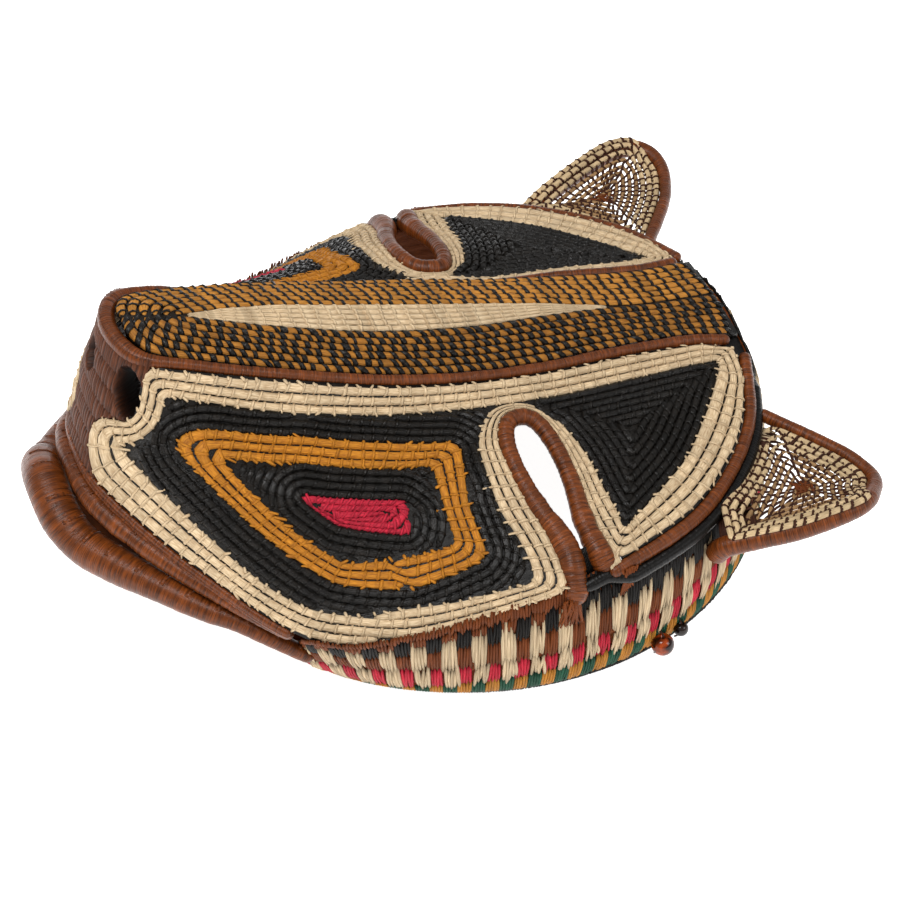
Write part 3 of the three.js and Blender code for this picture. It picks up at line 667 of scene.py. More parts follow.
browRing = ringFrom(browEdge, browMiddle)
blackCoil = dict(coil, thread=0.6, height=1.6, pitch=4.4, fill=0.92, slant=0.9, step=2.2)
browEnd = browMiddle + (browRing - browMiddle) * 0.02
for start, end, turns, seed in ((ringOuter, cheekRing, 12, 100), (leafRing, ringInner, 8, 200),
                                (browRing, browEnd, 9, 300)):
    contourRows(black, start, end, side["blackPitch"], turns, blackCoil, seed)
ringMark = ringMarks(ringOuter, ringInner, 4.7, 5)
faceRows(orange, ringOuter, ringInner, side["ringRows"], coil, 6, 0.2, 0.04, ringMark)
for near, far, seed in ((0.1, -0.06, 12), (0.9, 1.06, 13)):
    addTicks(orange, ringOuter, ringInner, ringMark, near, far, tickLifts, seed)
leafCoil = dict(coil, pitch=2.4, slant=1.4, height=1.7, fill=1.05, thread=0.6)
leafEnd = leafMiddle + (leafRing - leafMiddle) * (0.4, 0.0)
faceRows(pink, leafRing, leafEnd, side["leafRows"], leafCoil, 8, 0.05)

stations, shares = np.linspace(0.3, 9, 131), np.linspace(-0.01, 1.01, 41)
stationGrid, shareGrid = np.meshgrid(stations, shares, indexing="ij")
cellStation = (stationGrid[:-1, :-1] + stationGrid[1:, 1:]) / 2
cellShare = (shareGrid[:-1, :-1] + shareGrid[1:, 1:]) / 2
kept = inside(borderOuter[::4], cellStation, cellShare)
# a sheet under the rows closes the face between them, and it is black as painted shade in the gaps between
# the rows
addShell(gapShadeLiner, facePoint(stationGrid, shareGrid, 0.7), facePoint(stationGrid, shareGrid, -0.5),
         stations * chartScale[0], shares * chartScale[1], keep=kept)

for name, bundle, thread, slot in (("border", cream, creamThread, "cream_fibre"),
                                   ("black", black, blackThreadAndShade, "black_fibre"),
                                   ("ring", orange, orangeThread, "gold_fibre"),
                                   ("leaf", pink, pinkThread, "band_fibre"),
                                   ("shadeBacking", gapShadeLiner, blackThreadAndShade, "black_fibre")):
    finishBoth("cheek_" + name, bundle, thread, slot, "face_panel", dropped(bundle))
print("face panels done")

# Nose ridge: gold rows round a cream spindle, wrapped with slanted black stitches.
ridge = {
    "line": [(-137, 128.4), (-110, 122), (-85, 115.5), (-46, 104.7), (-6, 95.5), (35, 88.5), (74, 81),
             (104, 78.6)],
    "rise": 1.2, "inset": 5.6, "end": 9.05, "rows": 6,
    # stations of the outer outline, and the inner one that each goes with as [x, y]
    "stations": [9.15, 8, 7.1, 6.1, 5, 4, 3, 2, 1.2, 0.6, 0.2],
    "inner": [(106, 0.5), (82, 0.5), (62, 0.8), (30, 4.4), (-2, 7.6), (-38, 8.7), (-72, 7.2), (-95, 4),
              (-107, 1.6), (-110, 0.7), (-110.5, 0.2)],
    "halfBetween": (1.0, 2.0), "spindleRows": 5, "spindle": (-109, 60), "spindleFill": 0.76,
    "shadeBacking": (1.0, -1.75), "backingEnd": 104.8,
}
ridgeStations = np.linspace(0.05, ridge["end"], 240)
ridgeEdge = besideEdge(face["top"], ridgeStations, -ridge["inset"])


def ridgePoint(x, y, lift=0.0):
    # a low crown between the two edges: the height goes with the square of y over the half width
    edgeY = np.interp(x, ridgeEdge[:, 0], ridgeEdge[:, 1])
    edgeZ = np.interp(x, ridgeEdge[:, 0], ridgeEdge[:, 2])
    xs, zs = np.array(ridge["line"]).T
    middle = readCurve(zs, np.interp(x, xs, np.arange(len(xs))))
    share = np.clip(y / np.maximum(edgeY, 1), -1.1, 1.1)
    return np.stack([x, y, middle + (edgeZ + ridge["rise"] - middle) * share ** 2 + lift], -1)


def ridgeNormal(x, y):
    alongX = ridgePoint(x + 0.5, y) - ridgePoint(x - 0.5, y)
    alongY = ridgePoint(x, y + 0.5) - ridgePoint(x, y - 0.5)
    return unit(np.cross(alongX, alongY))


gold, stitchBlack, spindle, ridgeGapShade = (newBundle() for _ in range(4))
goldCoil = dict(coil, pitch=4.8, height=1.5, fill=0.84, thread=0.62, slant=1.5, arc=104, proud=0.3, lift=0.6)
outerHalf = besideEdge(face["top"], np.array(ridge["stations"]), 0.3 - ridge["inset"])[:, :2]
innerHalf = np.array(ridge["inner"])
along = np.linspace(0, 2 * len(outerHalf) - 1, 500)
outerLine, innerLine = (readCurve(np.vstack([half, half[::-1] * (1, -1)]), along)
                        for half in (outerHalf, innerHalf))
for row in range(ridge["rows"]):
    line = outerLine + (innerLine - outerLine) * (row + 0.5) / ridge["rows"]
    across = np.gradient(line, axis=0)
    across = unit(np.stack([-across[:, 1], across[:, 0]], -1))
    halfWidth = np.abs(((outerLine - innerLine) * across).sum(-1)) / ridge["rows"] / 2
    halfWidth = np.clip(halfWidth * goldCoil["fill"], *ridge["halfBetween"])
    x, y = line.T
    # the near side's rows are darker and its stitches thicker
    for part, heavy in ((y >= 0, 0.05), (y < 0, 0.5)):
        addRow(gold, ridgePoint(x[part], y[part], goldCoil["lift"]), ridgeNormal(x[part], y[part]),
               halfWidth[part], dict(goldCoil, thread=goldCoil["thread"] + heavy), 20 + row,
               stitches=stitchBlack, dyeAndShade=(1 - 0.5 * heavy, 1 - 0.56 * heavy, 1 - 0.7 * heavy))
x = np.linspace(*ridge["spindle"], 160)
order = np.argsort(innerHalf[:, 0])
spindleHalf = readCurve(innerHalf[order][:, 1], np.interp(x, innerHalf[order][:, 0], np.arange(len(order))))
spindleCoil = dict(coil, height=1.2, step=1.6, thread=0.75)
for row in range(ridge["spindleRows"]):
    y = spindleHalf * ((row + 0.5) / ridge["spindleRows"] * 2 - 1)
    addRow(spindle, ridgePoint(x, y, 0.9), ridgeNormal(x, y),
           np.maximum(spindleHalf / ridge["spindleRows"] * ridge["spindleFill"], 0.4), spindleCoil, 50 + row)
# a sheet under the ridge's rows closes it between them, and it is black as painted shade in the gaps between
# the rows
lengthways = np.linspace(ridgeEdge[0, 0] + 1, ridge["backingEnd"], 120)
sideways = np.linspace(-1, 1, 25)
xGrid, sideGrid = np.meshgrid(lengthways, sideways, indexing="ij")
yGrid = sideGrid * np.interp(xGrid, ridgeEdge[:, 0], ridgeEdge[:, 1])
outer, inner = (ridgePoint(xGrid, yGrid, lift) for lift in ridge["shadeBacking"])
addShell(ridgeGapShade, outer, inner, lengthways, sideways * 25)
for name, bundle, thread, slot in (("gold", gold, goldThread, "gold_fibre"),
                                   ("stitches", stitchBlack, blackThreadAndShade, "black_fibre"),
                                   ("spindle", spindle, creamThread, "cream_fibre"),
                                   ("shadeBacking", ridgeGapShade, blackThreadAndShade, "black_fibre")):
    finishPiece("ridge_" + name, bundle, thread, slot, "nose_ridge")
print("ridge done")

# Brown rolls, wound with fine fibre.
rolls = {
    "edgingRadius": 2.2, "edgingIn": 2.95, "edgingRise": 1.2, "seam": (1.3, 8.8), "seamWall": 0.4,
    # round the nose the edging is thicker, further out and lower
    "noseThick": 1.1, "noseOut": 1.3, "noseDown": 0.9,
    "slot": [(5.33, 1.07), (5.38, 1.0), (5.43, 0.9), (5.39, 0.77), (5.28, 0.63), (5.2, 0.46), (5.2, 0.31),
             (5.31, 0.22), (5.52, 0.2), (5.68, 0.25), (5.77, 0.38), (5.79, 0.56), (5.75, 0.74),
             (5.76, 0.88), (5.83, 1.02)],
    "slotRadius": [4.4, 4.6, 4.7, 4.4, 3.7, 3.2, 3, 3, 3, 3, 3, 3.2, 3.7, 4.4, 4.6], "slotLift": 0.6,
    "slotDive": 5.0,
    "browRadius": 2.5, "browOut": 2.6, "browDown": 1.9,
    "earRight": [(100.3, 57.2, 64), (119.6, 85.6, 62.5), (126.8, 101, 61.5), (129.2, 112, 62.5),
                 (127.4, 120.2, 64), (121, 125, 65), (109.6, 126, 64), (91, 119.8, 60.5),
                 (75, 113.6, 56), (64.6, 109, 50.5), (62, 105.5, 43)],
    "earLeft": [(100.3, 57.2, 64), (120.3, 85.2, 62.5), (126.4, 97.8, 61.5), (126.6, 106, 62.2),
                (122.3, 113.6, 64), (115.2, 121, 66.2), (105.8, 123.2, 65.5), (88.7, 120.8, 60.5),
                (74, 116, 56), (64, 110.8, 50.5), (62, 106.5, 43)],
    "earRadius": [2.6, 2.6, 2.6, 2.8, 3.2, 3.7, 4, 4, 4, 4.2, 4.6],
    "upperOut": [2.6, 2.6, 0.8, -1.6], "upperDown": [10, 10.2, 7.8, 4.4], "upperRadius": [4.1, 4.1, 3.4, 2.3],
    # the upper lip ends at this station; its two thin rolls lie at these shares of the strip
    "upperEnd": 2.8, "thinRolls": ((0.2, 66), (0.52, 67)), "thinRadius": 1.6,
    "lower": [(-167.6, 0, 58), (-166, 16, 53), (-160.5, 27, 47), (-151, 40, 45), (-139, 55, 43.6),
              (-126, 67, 39.5), (-114, 75, 35.5), (-103.3, 81.5, 29.5), (-89.6, 85.5, 19)],
    "lowerRadius": [8, 7.9, 7.6, 7, 5.7, 4.7, 4, 3.4, 2.8],
}


def wound(bundle, path, up, radius, sides=12, pitch=1.5, depth=0.14, lump=0.03, seed=1):
    # a roll whose radius swells over each winding: radius + depth * |sin(winding)| ** 0.4 + slow lumps
    at, line, normal, size = sampleAlong(path, 0.5, up, radius)
    draw = np.random.default_rng(seed)
    widths = draw.uniform(0.6, 1.4, int(at[-1] / pitch * 1.7) + 6) * pitch
    winding = np.interp(at, np.r_[0, np.cumsum(widths)], np.arange(len(widths) + 1))
    slow = np.arange(0, at[-1] + 12, 6)
    lumps = np.interp(at, slow, draw.normal(0, lump, len(slow)))
    tone = draw.uniform(-1, 1, len(widths) + 1)[np.floor(winding).astype(int)]
    crest = np.abs(np.sin(math.pi * winding)) ** 0.4
    ends = np.clip(np.minimum(at, at[-1] - at) / size, 0.03, 1)
    size = size * (1 + lumps) + depth * (crest - 0.6) + depth * 0.3 * tone
    size = size * np.sqrt(1 - (1 - ends) ** 2)
    # painted shade: each winding is darker towards the grooves between windings, times a random tone for each
    # winding
    paintedShade = ((0.42 + 0.58 * crest) * (1 + 0.2 * tone))[:, None] * np.ones(3)
    addStrands(bundle, line[None], normal[None], size[None], size[None], paintedShade[None], sides)


def addTies(bundle, path, up, radius, spacing, turns, thick, seed, dyeAndShade=(1, 1, 1)):
    # short strands laid round a roll, from one turn to another in degrees
    at, line, normal, size = sampleAlong(path, 1.0, up, radius)
    draw = np.random.default_rng(seed)
    marks = looseMarks(draw, int(at[-1] / spacing), at[-1])
    tangent = unit(np.gradient(line, axis=0))
    spot, normal, ahead = (readRows(marks, at, rows)[:, None] for rows in (line, normal, tangent))
    ahead = unit(ahead)
    side = unit(np.cross(ahead, unit(normal)))
    rise = np.cross(side, ahead)
    turn = np.radians(np.linspace(*turns, 8))[None, :, None]
    outward = side * np.cos(turn) + rise * np.sin(turn)
    centre = (spot + outward * (np.interp(marks, at, size)[:, None, None] + 0.12)
              + ahead * turn * draw.normal(0.3, 0.3, (len(marks), 1, 1)))
    addStrands(bundle, centre, outward, thick, 0.3, dyeAndShade)


edging = newBundle()
station = np.linspace(-9, 9, 400)
front = 1 - smooth(np.abs(station), 0.7, 1.9)
path = besideEdge(face["top"], station, rolls["noseOut"] * front - rolls["edgingIn"],
                  rolls["edgingRise"] - rolls["noseDown"] * front)
path[:, 2] -= np.where(station > 0, dropAt(path[:, 0], path[:, 1] + rolls["edgingIn"]), 0)
wound(edging, path, upright, rolls["edgingRadius"] + rolls["noseThick"] * front, seed=61, depth=0.2)
finishPiece("edging", edging, brownWrap, "brown_wrap", "ridge_edging")

# a wrapped strip closes the step from the ridge down to the edging of the far side
seam = newBundle()
station = np.linspace(*rolls["seam"], 260)
high = besideEdge(face["top"], station, -ridge["inset"] - 0.2, ridge["rise"] - 0.6)
low = besideEdge(face["top"], station, -rolls["edgingIn"], rolls["edgingRise"])
low[:, 2] -= dropAt(low[:, 0], low[:, 1] + rolls["edgingIn"])
strip = high[:, None] + (low - high)[:, None] * np.linspace(0, 1, 6)[None, :, None]
seamSide = planSide(face["top"], station)[:, None] * rolls["seamWall"]
addShell(seam, strip + seamSide, strip - seamSide, station * 25, np.linspace(0, 5, 6), (0.7, 0.7, 0.7))
finishPiece("edging_seam", seam, brownWrap, "brown_wrap", "ridge_edging")

slotRoll = newBundle()
station, share = readCurve(rolls["slot"], np.linspace(0, len(rolls["slot"]) - 1, 200)).T
path = facePoint(station, share, rolls["slotLift"] - rolls["slotDive"] * smooth(share, 0.9, 1.05))
wound(slotRoll, path, faceNormal(station, share), readCurve(rolls["slotRadius"], np.linspace(0, 14, 200)),
      sides=16, pitch=2.2, depth=0.3, lump=0.04, seed=62)
finishBoth("eye_edge", slotRoll, brownWrap, "brown_wrap", "eye_roll", dropped(slotRoll))

browRoll = newBundle()
path = besideEdge(face["foot"], np.linspace(5.8, 9, 120), rolls["browOut"], -rolls["browDown"])
wound(browRoll, path, upright, rolls["browRadius"], seed=63, depth=0.2)
finishBoth("brow_edge", browRoll, brownWrap, "brown_wrap", "brow_roll")

earRolls = {}
station = np.linspace(0, 10, 200)
for name in ("earRight", "earLeft"):
    earRolls[name] = newBundle()
    wound(earRolls[name], readCurve(rolls[name], station), upright, readCurve(rolls["earRadius"], station),
          sides=16, pitch=1.6, depth=0.15, lump=0.02, seed=64)
finishBoth("ear_edge", earRolls["earLeft"], brownWrap, "brown_wrap", "ear_roll", earRolls["earRight"])

# the upper lip: its roll, two thin rolls above it and short ties round the roll
upperLip = newBundle()
station = np.linspace(-rolls["upperEnd"], rolls["upperEnd"], 300)
out, down, radius = (readCurve(rolls[key], np.abs(station) / rolls["upperEnd"] * 3)
                     for key in ("upperOut", "upperDown", "upperRadius"))
path = besideEdge(face["foot"], station, out, -down)
wound(upperLip, path, upright, radius, sides=14, pitch=2.6, depth=0.2, seed=65)
for share, seed in rolls["thinRolls"]:
    strip = besideEdge(face["foot"], station, 0.8, -share * (down - 1.5) - 1.2)
    wound(upperLip, strip, upright, rolls["thinRadius"], sides=10, pitch=1.3, depth=0.25, seed=seed)
addTies(upperLip, path, upright, radius, 5.5, (-20, 110), 0.55, 73, (0.7, 0.7, 0.7))
finishPiece("upper_lip_rolls", upperLip, brownWrap, "brown_wrap", "upper_lip")

lowerLip = newBundle()
station = np.linspace(-8, 8, 300)
path, radius = faceEdge(rolls["lower"], station), readCurve(rolls["lowerRadius"], np.abs(station))
wound(lowerLip, path, upright, radius, sides=20, pitch=4.5, depth=0.15, lump=0.01, seed=68)
addTies(lowerLip, path, upright, radius, 11, (-60, 120), 0.8, 74)
addTies(lowerLip, path, upright, radius, 11, (-75, -45), 0.5, 75, (0.12, 0.1, 0.1))
finishPiece("lower_lip_roll", lowerLip, brownWrap, "brown_wrap", "lower_lip")
print("rolls done")

# Front of the muzzle: brown rows with two deep nostrils.
muzzle = {
    # the sides, each point as [station, share]
    "edge": [(1.25, -0.05), (1.22, 0.02), (1.19, 0.15), (1.21, 0.28), (1.08, 0.41), (0.85, 0.47),
             (0.56, 0.57), (0.4, 0.74), (0.49, 0.88), (0.69, 1.0), (0.74, 1.05)],
    # nostrils: station, share, half sizes in both, and how far the hole leans
    "nostrils": [(-1.0, 0.24, 0.26, 0.18, -0.5), (0.22, 0.27, 0.22, 0.12, -0.3)], "nostrilDeep": 11.0,
    # millimetres down the front and across one station, and the winding of its rows
    "fall": 52.0, "across": 24, "rows": 8, "rowPitch": 8.0, "rowHeight": 0.5,
    "strokes": 90, "stroke": 1.9, "strokeHeight": 0.8,
}
muzzleFront = newBundle()
station, share = np.linspace(-1.32, 1.32, 221), np.linspace(-0.05, 1.02, 121)
stationGrid, shareGrid = np.meshgrid(station, share, indexing="ij")
edgeCurve = readCurve(muzzle["edge"], np.linspace(0, 10, 80))
reach = np.interp(shareGrid, edgeCurve[:, 1], edgeCurve[:, 0])
hole = np.full(stationGrid.shape, 9.0)
for place, level, halfStation, halfShare, lean in muzzle["nostrils"]:
    aside = (stationGrid - place - lean * (shareGrid - level)) / halfStation
    hole = np.minimum(hole, np.hypot(aside, (shareGrid - level) / halfShare))
# relief: rows one below another, each wound with upright strokes of random widths
fall = muzzle["fall"] * shareGrid / muzzle["rowPitch"]
draw = np.random.default_rng(70)
strokes = draw.uniform(0.45, 1.6, (muzzle["rows"], muzzle["strokes"])) * muzzle["stroke"]
strokeAt = np.pad(np.cumsum(strokes, axis=1), ((0, 0), (1, 0)))
across = (stationGrid + 1.4) * muzzle["across"]
windings = np.stack([np.interp(across, edges, np.arange(len(edges))) for edges in strokeAt])
rowIndex = np.clip(np.floor(fall).astype(int), 0, muzzle["rows"] - 1)
winding = np.take_along_axis(windings, rowIndex[None], axis=0)[0]
strokeUp = np.abs(np.sin(math.pi * winding)) ** 0.5
rowUp = np.abs(np.sin(math.pi * fall)) ** 0.5
pit = muzzle["nostrilDeep"] * (1 - smooth(hole, 0.75, 1.1))
raised = muzzle["rowHeight"] * rowUp + muzzle["strokeHeight"] * strokeUp
outer = facePoint(stationGrid, shareGrid, 0.3 + raised - pit)
inner = facePoint(stationGrid, shareGrid, -1.2 - pit)
middle = (np.abs(stationGrid) < reach + 0.04) & (hole > 0.72)
kept = middle[:-1, :-1] & middle[1:, 1:] & middle[:-1, 1:] & middle[1:, :-1]
# painted shade: darker in the grooves between strokes and between rows, nearly black in and round the
# nostrils, and the inner side painted at 0.3 as shade
paintedShade = (0.3 + 0.7 * strokeUp) * (0.8 + 0.2 * rowUp) * (0.03 + 0.97 * smooth(hole, 0.9, 1.2))
paintedShade = np.concatenate([paintedShade.ravel(), 0.3 + 0 * paintedShade.ravel()])[:, None] * np.ones(3)
addShell(muzzleFront, outer, inner, station * 25, share * muzzle["fall"], paintedShade, kept)
muzzleWrap = fibre("muzzle_wrap", dyes["brown"] * 0.75, dyes["brownDark"] * 0.7, dict(wrapFibre, rough=0.5))
finishPiece("muzzle_rows", muzzleFront, muzzleWrap, "brown_fibre", "muzzle_front")
print("muzzle done")

# Head band: stitched blocks in columns over a coiled wall.
band = {
    "blocks": 140, "perBlock": 5,
    # row edges, as shares of the height, at these degrees from the forehead
    "degrees": [0, 30, 45, 65, 80, 91, 100, 110, 120, 140],
    "edges": [(1.0, 0.97, 0.85, 0.7, 0.52, 0.3, 0.1), (1.0, 0.97, 0.85, 0.7, 0.52, 0.3, 0.1),
              (1.01, 0.95, 0.78, 0.61, 0.42, 0.22, 0.06), (1.02, 0.93, 0.73, 0.56, 0.355, 0.18, 0.04),
              (1.02, 0.92, 0.72, 0.52, 0.34, 0.15, 0.03), (1.03, 0.91, 0.715, 0.48, 0.325, 0.115, 0.02),
              (1.06, 0.95, 0.73, 0.52, 0.335, 0.11, 0.02), (1.12, 1.03, 0.82, 0.555, 0.335, 0.09, 0.02),
              (1.16, 1.08, 0.835, 0.61, 0.24, 0.06, 0.02), (1.16, 1.08, 0.84, 0.55, 0.2, 0.06, 0.02)],
    "dark": ["black", "black", "brown", "pink", "gold", "black"],
    "light": ["brown", "brown", "cream", "cream", "green", "black"],
    "thick": 0.64, "bulge": 1.0,
    # cream stitches first, then the others: how ragged, leaning and dark at the ends, the dark ends being
    # painted shade where the blocks meet
    "ragged": (0.035, 0.014), "lean": (0.3, 0.2), "endPaintedShade": (0.62, 0.75),
    # the roll on top, between these degrees
    "crest": (20, 91), "crestRadius": 2.7, "crestOut": 0.5, "crestRise": 1.4,
    # the strands that close the slot's lower end, between these degrees
    "fill": (83.5, 92.5), "fillIn": 3.0, "fillLean": 6.0, "fillDown": 1.0, "fillHigh": 9.0,
    # the patch behind the ridge, between these degrees
    "patch": (9.5, 25), "patchLevel": 0.985, "patchSunk": 0.8, "patchRise": 0.7, "patchWall": 0.4,
    # tufts: degrees, height, reach and seed
    "tufts": [(90.0, 49.0, 4.0, 90), (79.5, 56.5, 5.5, 91)], "tuftStrands": 16, "tuftLong": 13,
    "cornerStitches": (5.845, 5.955), "ribs": 13, "ribHigh": 0.9, "wall": 4, "footWall": 3,
}
blocks, coilTop, wall = newBundle(), newBundle(), newBundle()
draw = np.random.default_rng(71)
strands = band["blocks"] * band["perBlock"]
pitch = 2 * math.pi / strands
number = np.arange(strands)
angle = -math.pi + (number + 0.5) * pitch
degrees = np.abs(np.degrees(angle))
edges = readRows(degrees, band["degrees"], np.array(band["edges"])).T
brow = degrees < 89
light = (number // band["perBlock"]) % 2 == 0
for row in range(len(band["dark"])):
    high, low = edges[row].copy(), edges[row + 1].copy()
    if row == 1:
        low = np.where(light, (high + low) / 2, low)
    if row == 2:
        high = np.where(light, (edges[1] + edges[2]) / 2, high)
    names = np.where(light, band["light"][row], band["dark"][row])
    if row < 2:
        names = np.where(brow, "black", np.where(light | (row == 0), "brown", "black"))
    dyeAndShade = np.array([dyes[name] for name in names]) * draw.uniform(0.8, 1.1, (strands, 1))
    dyeAndShade = dyeAndShade * np.where(names == "black", 0.7, 1)[:, None]
    cream = names == "cream"
    ragged, leaning, endPaintedShade = (np.where(cream, *band[key]) for key in ("ragged", "lean", "endPaintedShade"))
    bottom = np.maximum(low - 0.02 + ragged * draw.normal(0, 1, strands), 0.012)
    topAt = high + 0.01 + ragged * draw.normal(0, 1, strands)
    t = np.linspace(0, 1, 5)[None]
    level = bottom[:, None] + (topAt - bottom)[:, None] * t
    lean = draw.normal(0, leaning, strands)[:, None] * pitch
    shift = np.where(cream & (row == 3), 0.8, 0)[:, None] * pitch
    theta = angle[:, None] + lean * (t - 0.5) * 2 + shift
    arch = np.sqrt(np.sin(math.pi * (0.05 + 0.9 * t)))
    bulge = np.where(brow & (row == 0), 0.2, band["bulge"])[:, None]
    centre = bandPoint(theta, level, bulge * arch - 0.3 + np.where(cream, 0.4, 0)[:, None])
    width = band["thick"] * np.sin(math.pi * (0.16 + 0.68 * t)) ** 0.4 * np.where(cream, 1.15, 1.0)[:, None]
    width = width * draw.uniform(0.85, 1.15, (strands, 1))
    # painted shade: each strand is darker towards its ends, in the gaps where the blocks meet
    ends = endPaintedShade[:, None] + (1 - endPaintedShade[:, None]) * np.sin(math.pi * t) ** 0.5
    addStrands(blocks, centre, bandNormal(theta, level), width, 0.5, dyeAndShade[:, None] * ends[..., None])
crest = np.radians(np.linspace(*band["crest"], 120))
crestTop, crestReach = bandTop(crest)
fade = np.clip(np.minimum(np.arange(120), np.arange(120)[::-1]) / 8, 0.3, 1)
path = polar(crestReach + band["crestOut"], crest, crestTop - band["crestRadius"] + band["crestRise"])
wound(coilTop, path, upright, band["crestRadius"] * fade, sides=14, pitch=1.3, depth=0.25, seed=79)
# black strands close the slot's lower end behind its roll
theta = np.radians(np.linspace(*band["fill"], 30))[:, None] + np.zeros((1, 5))
rise = np.linspace(0, 1, 5)[None]
fillTop, fillReach = bandTop(theta)
path = polar(fillReach - band["fillIn"] - band["fillLean"] * rise, theta,
             fillTop - band["fillDown"] + band["fillHigh"] * rise)
addStrands(coilTop, path, polar(1, theta, 0.6), 0.5, 0.6, (0.8, 0.8, 0.8))
coilTop = joined(coilTop, mirrored(coilTop))
# a wound patch closes the corner where the ridge, the forehead and the band meet
patch = newBundle()
corner = np.vstack([besideEdge(face["top"], 9.0, -ridge["inset"] - 1.0), faceEdge(face["top"], 9.0),
                    faceEdge(face["foot"], np.array([9.0, 8.85, 8.6]))])
near = readCurve(corner, np.linspace(0, 4, 40)) * (0.96, 0.96, 1) - upright * band["patchSunk"]
far = np.radians(np.linspace(*band["patch"], 40))
far = bandPoint(far, np.full(40, band["patchLevel"]), -band["patchSunk"])
inwards = np.linspace(0, 1, 9)[None, :, None]
winding = upright * band["patchRise"] * np.abs(np.sin(3 * math.pi * inwards)) ** 0.5
sheet = far[:, None] + (near - far)[:, None] * inwards + winding
half = upright * band["patchWall"]
addShell(patch, sheet + half, sheet - half, np.linspace(0, 30, 40), np.linspace(0, 8, 9), (0.9, 0.9, 0.9))
finishPiece("band_corner", joined(patch, mirrored(patch)), blackWrap, "black_fibre", "head_band")
tufts = newBundle()
fall = np.linspace(0, 1, 6)[None]
for degree, height, reach, seed in band["tufts"]:
    draw = np.random.default_rng(seed)
    each = (band["tuftStrands"], 1)
    spread = np.radians(draw.normal(degree, 1.1, each))
    out = reach - 1.5 * fall ** 2 + draw.normal(0, 0.3, each)
    radius = np.interp(degree, np.degrees(footAngles), footRadii) + out
    tilt = spread + np.radians(draw.normal(0, 1.2, each)) * fall
    addStrands(tufts, polar(radius, tilt, height + 4 - band["tuftLong"] * fall), polar(1, tilt, 0),
               0.8 * np.sin(math.pi * (0.2 + 0.7 * fall)), 0.6, dyes["brown"])
# cream stitches over the corner between the slot's roll and the forehead's
share = 0.9 + 0.13 * fall + np.zeros((9, 1))
station = np.linspace(*band["cornerStitches"], 9)[:, None] + 0 * share
addStrands(tufts, facePoint(station, share, 0.7), faceNormal(station, share), 0.62, 0.5, dyes["cream"] * 0.9)
tufts = joined(tufts, mirrored(tufts))
finishPiece("band_tufts", tufts, dyedShadedThread, "band_fibre", "head_band")
finishPiece("band_coil", coilTop, blackWrap, "black_fibre", "head_band")
finishPiece("band_stitches", blocks, dyedShadedThread, "band_fibre", "head_band")

angles, levels = np.linspace(-math.pi, math.pi, 257), np.linspace(0, 1, 57)
angleGrid, levelGrid = np.meshgrid(angles, levels, indexing="ij")
ribs = band["ribHigh"] * np.sqrt(np.abs(np.sin(math.pi * band["ribs"] * levelGrid)))
wallAt = band["wall"] + band["footWall"] * smooth(levelGrid * 60, 0, 9)
outer = bandPoint(angleGrid, levelGrid, ribs - band["ribHigh"])
inner = bandPoint(angleGrid, levelGrid, -wallAt - ribs + band["ribHigh"])
outer[-1], inner[-1] = outer[0], inner[0]
addShell(wall, outer, inner, angles * 118, levels * 60, dyes["brown"])
finishPiece("band_wall", wall, dyedShadedThread, "band_fibre", "head_band")
print("band done")

# Ears: rows round an open net.
ear = {"pitch": 2.8, "rowHalf": (1.38, 1.34, 1.2, 1.0, 0.95, 0.9, 0.85, 0.8), "creamRows": 3,
       "link": 0.62, "linkPitch": 3.4, "cluster": 34,
       # the root: how far out and between which heights the outline lies on the band
       "rootReach": 117.5, "rootHeights": (57, 61.5), "rootLine": (57.5, 61)}
rootTurn = math.atan2(rolls["earLeft"][0][1], rolls["earLeft"][0][0])


def earShape(roll):
    # the net's outline: along the roll's inner side, over the roll in front, and along the root
    station = np.linspace(0.2, 8.8, 200)
    ahead = readCurve(roll, station + 0.05) - readCurve(roll, station - 0.05)
    inward = unit(np.stack([-ahead[:, 1], ahead[:, 0], 0 * ahead[:, 0]], -1))
    size = readCurve(rolls["earRadius"], station)
    over = smooth(station, 3.6, 5.2)
    rollLine = readCurve(roll, station) + inward * (size * (1 - 1.6 * over))[:, None]
    rollRise = over * (size + 0.2)
    rootFrom = rootTurn + math.radians(3)
    rootAngle = np.linspace(rootFrom + math.radians(24), rootFrom, 60)
    rootLine = bandPoint(rootAngle, np.linspace(*ear["rootLine"], 60) / bandTop(rootAngle)[0], 0.6)
    outline = np.vstack([rollLine, rootLine])
    rise = np.r_[rollRise, np.linspace(rollRise[-1], 0, 60) ** 2 / max(rollRise[-1], 1)]
    travel = travelAlong(outline)
    evenly = np.linspace(0, travel[-1], 300, endpoint=False)
    outline, rise = readRows(evenly, travel, outline), np.interp(evenly, travel, rise)
    tryX, tryY = np.meshgrid(np.linspace(60, 125, 66), np.linspace(57, 125, 69), indexing="ij")
    room = np.hypot(tryX[..., None] - outline[::3, 0], tryY[..., None] - outline[::3, 1]).min(-1)
    room = np.where(inside(outline[::3, :2], tryX, tryY), room, 0)
    deepest = np.unravel_index(room.argmax(), room.shape)
    middle = np.array([tryX[deepest], tryY[deepest], outline[:, 2].mean()])
    return outline, rise, middle, min(int(room.max() / ear["pitch"]), len(ear["rowHalf"]))


def addArcs(bundle, a, b, dyeAndShade, base, height, width, thick):
    # strands in a low arch from one row of points to another
    t = np.linspace(0, 1, 4)[None, :, None]
    arcs = a[:, None] + (b - a)[:, None] * t + upright * (base + height * np.sin(math.pi * t))
    addStrands(bundle, arcs, np.broadcast_to(upright, arcs.shape), width, thick, dyeAndShade)


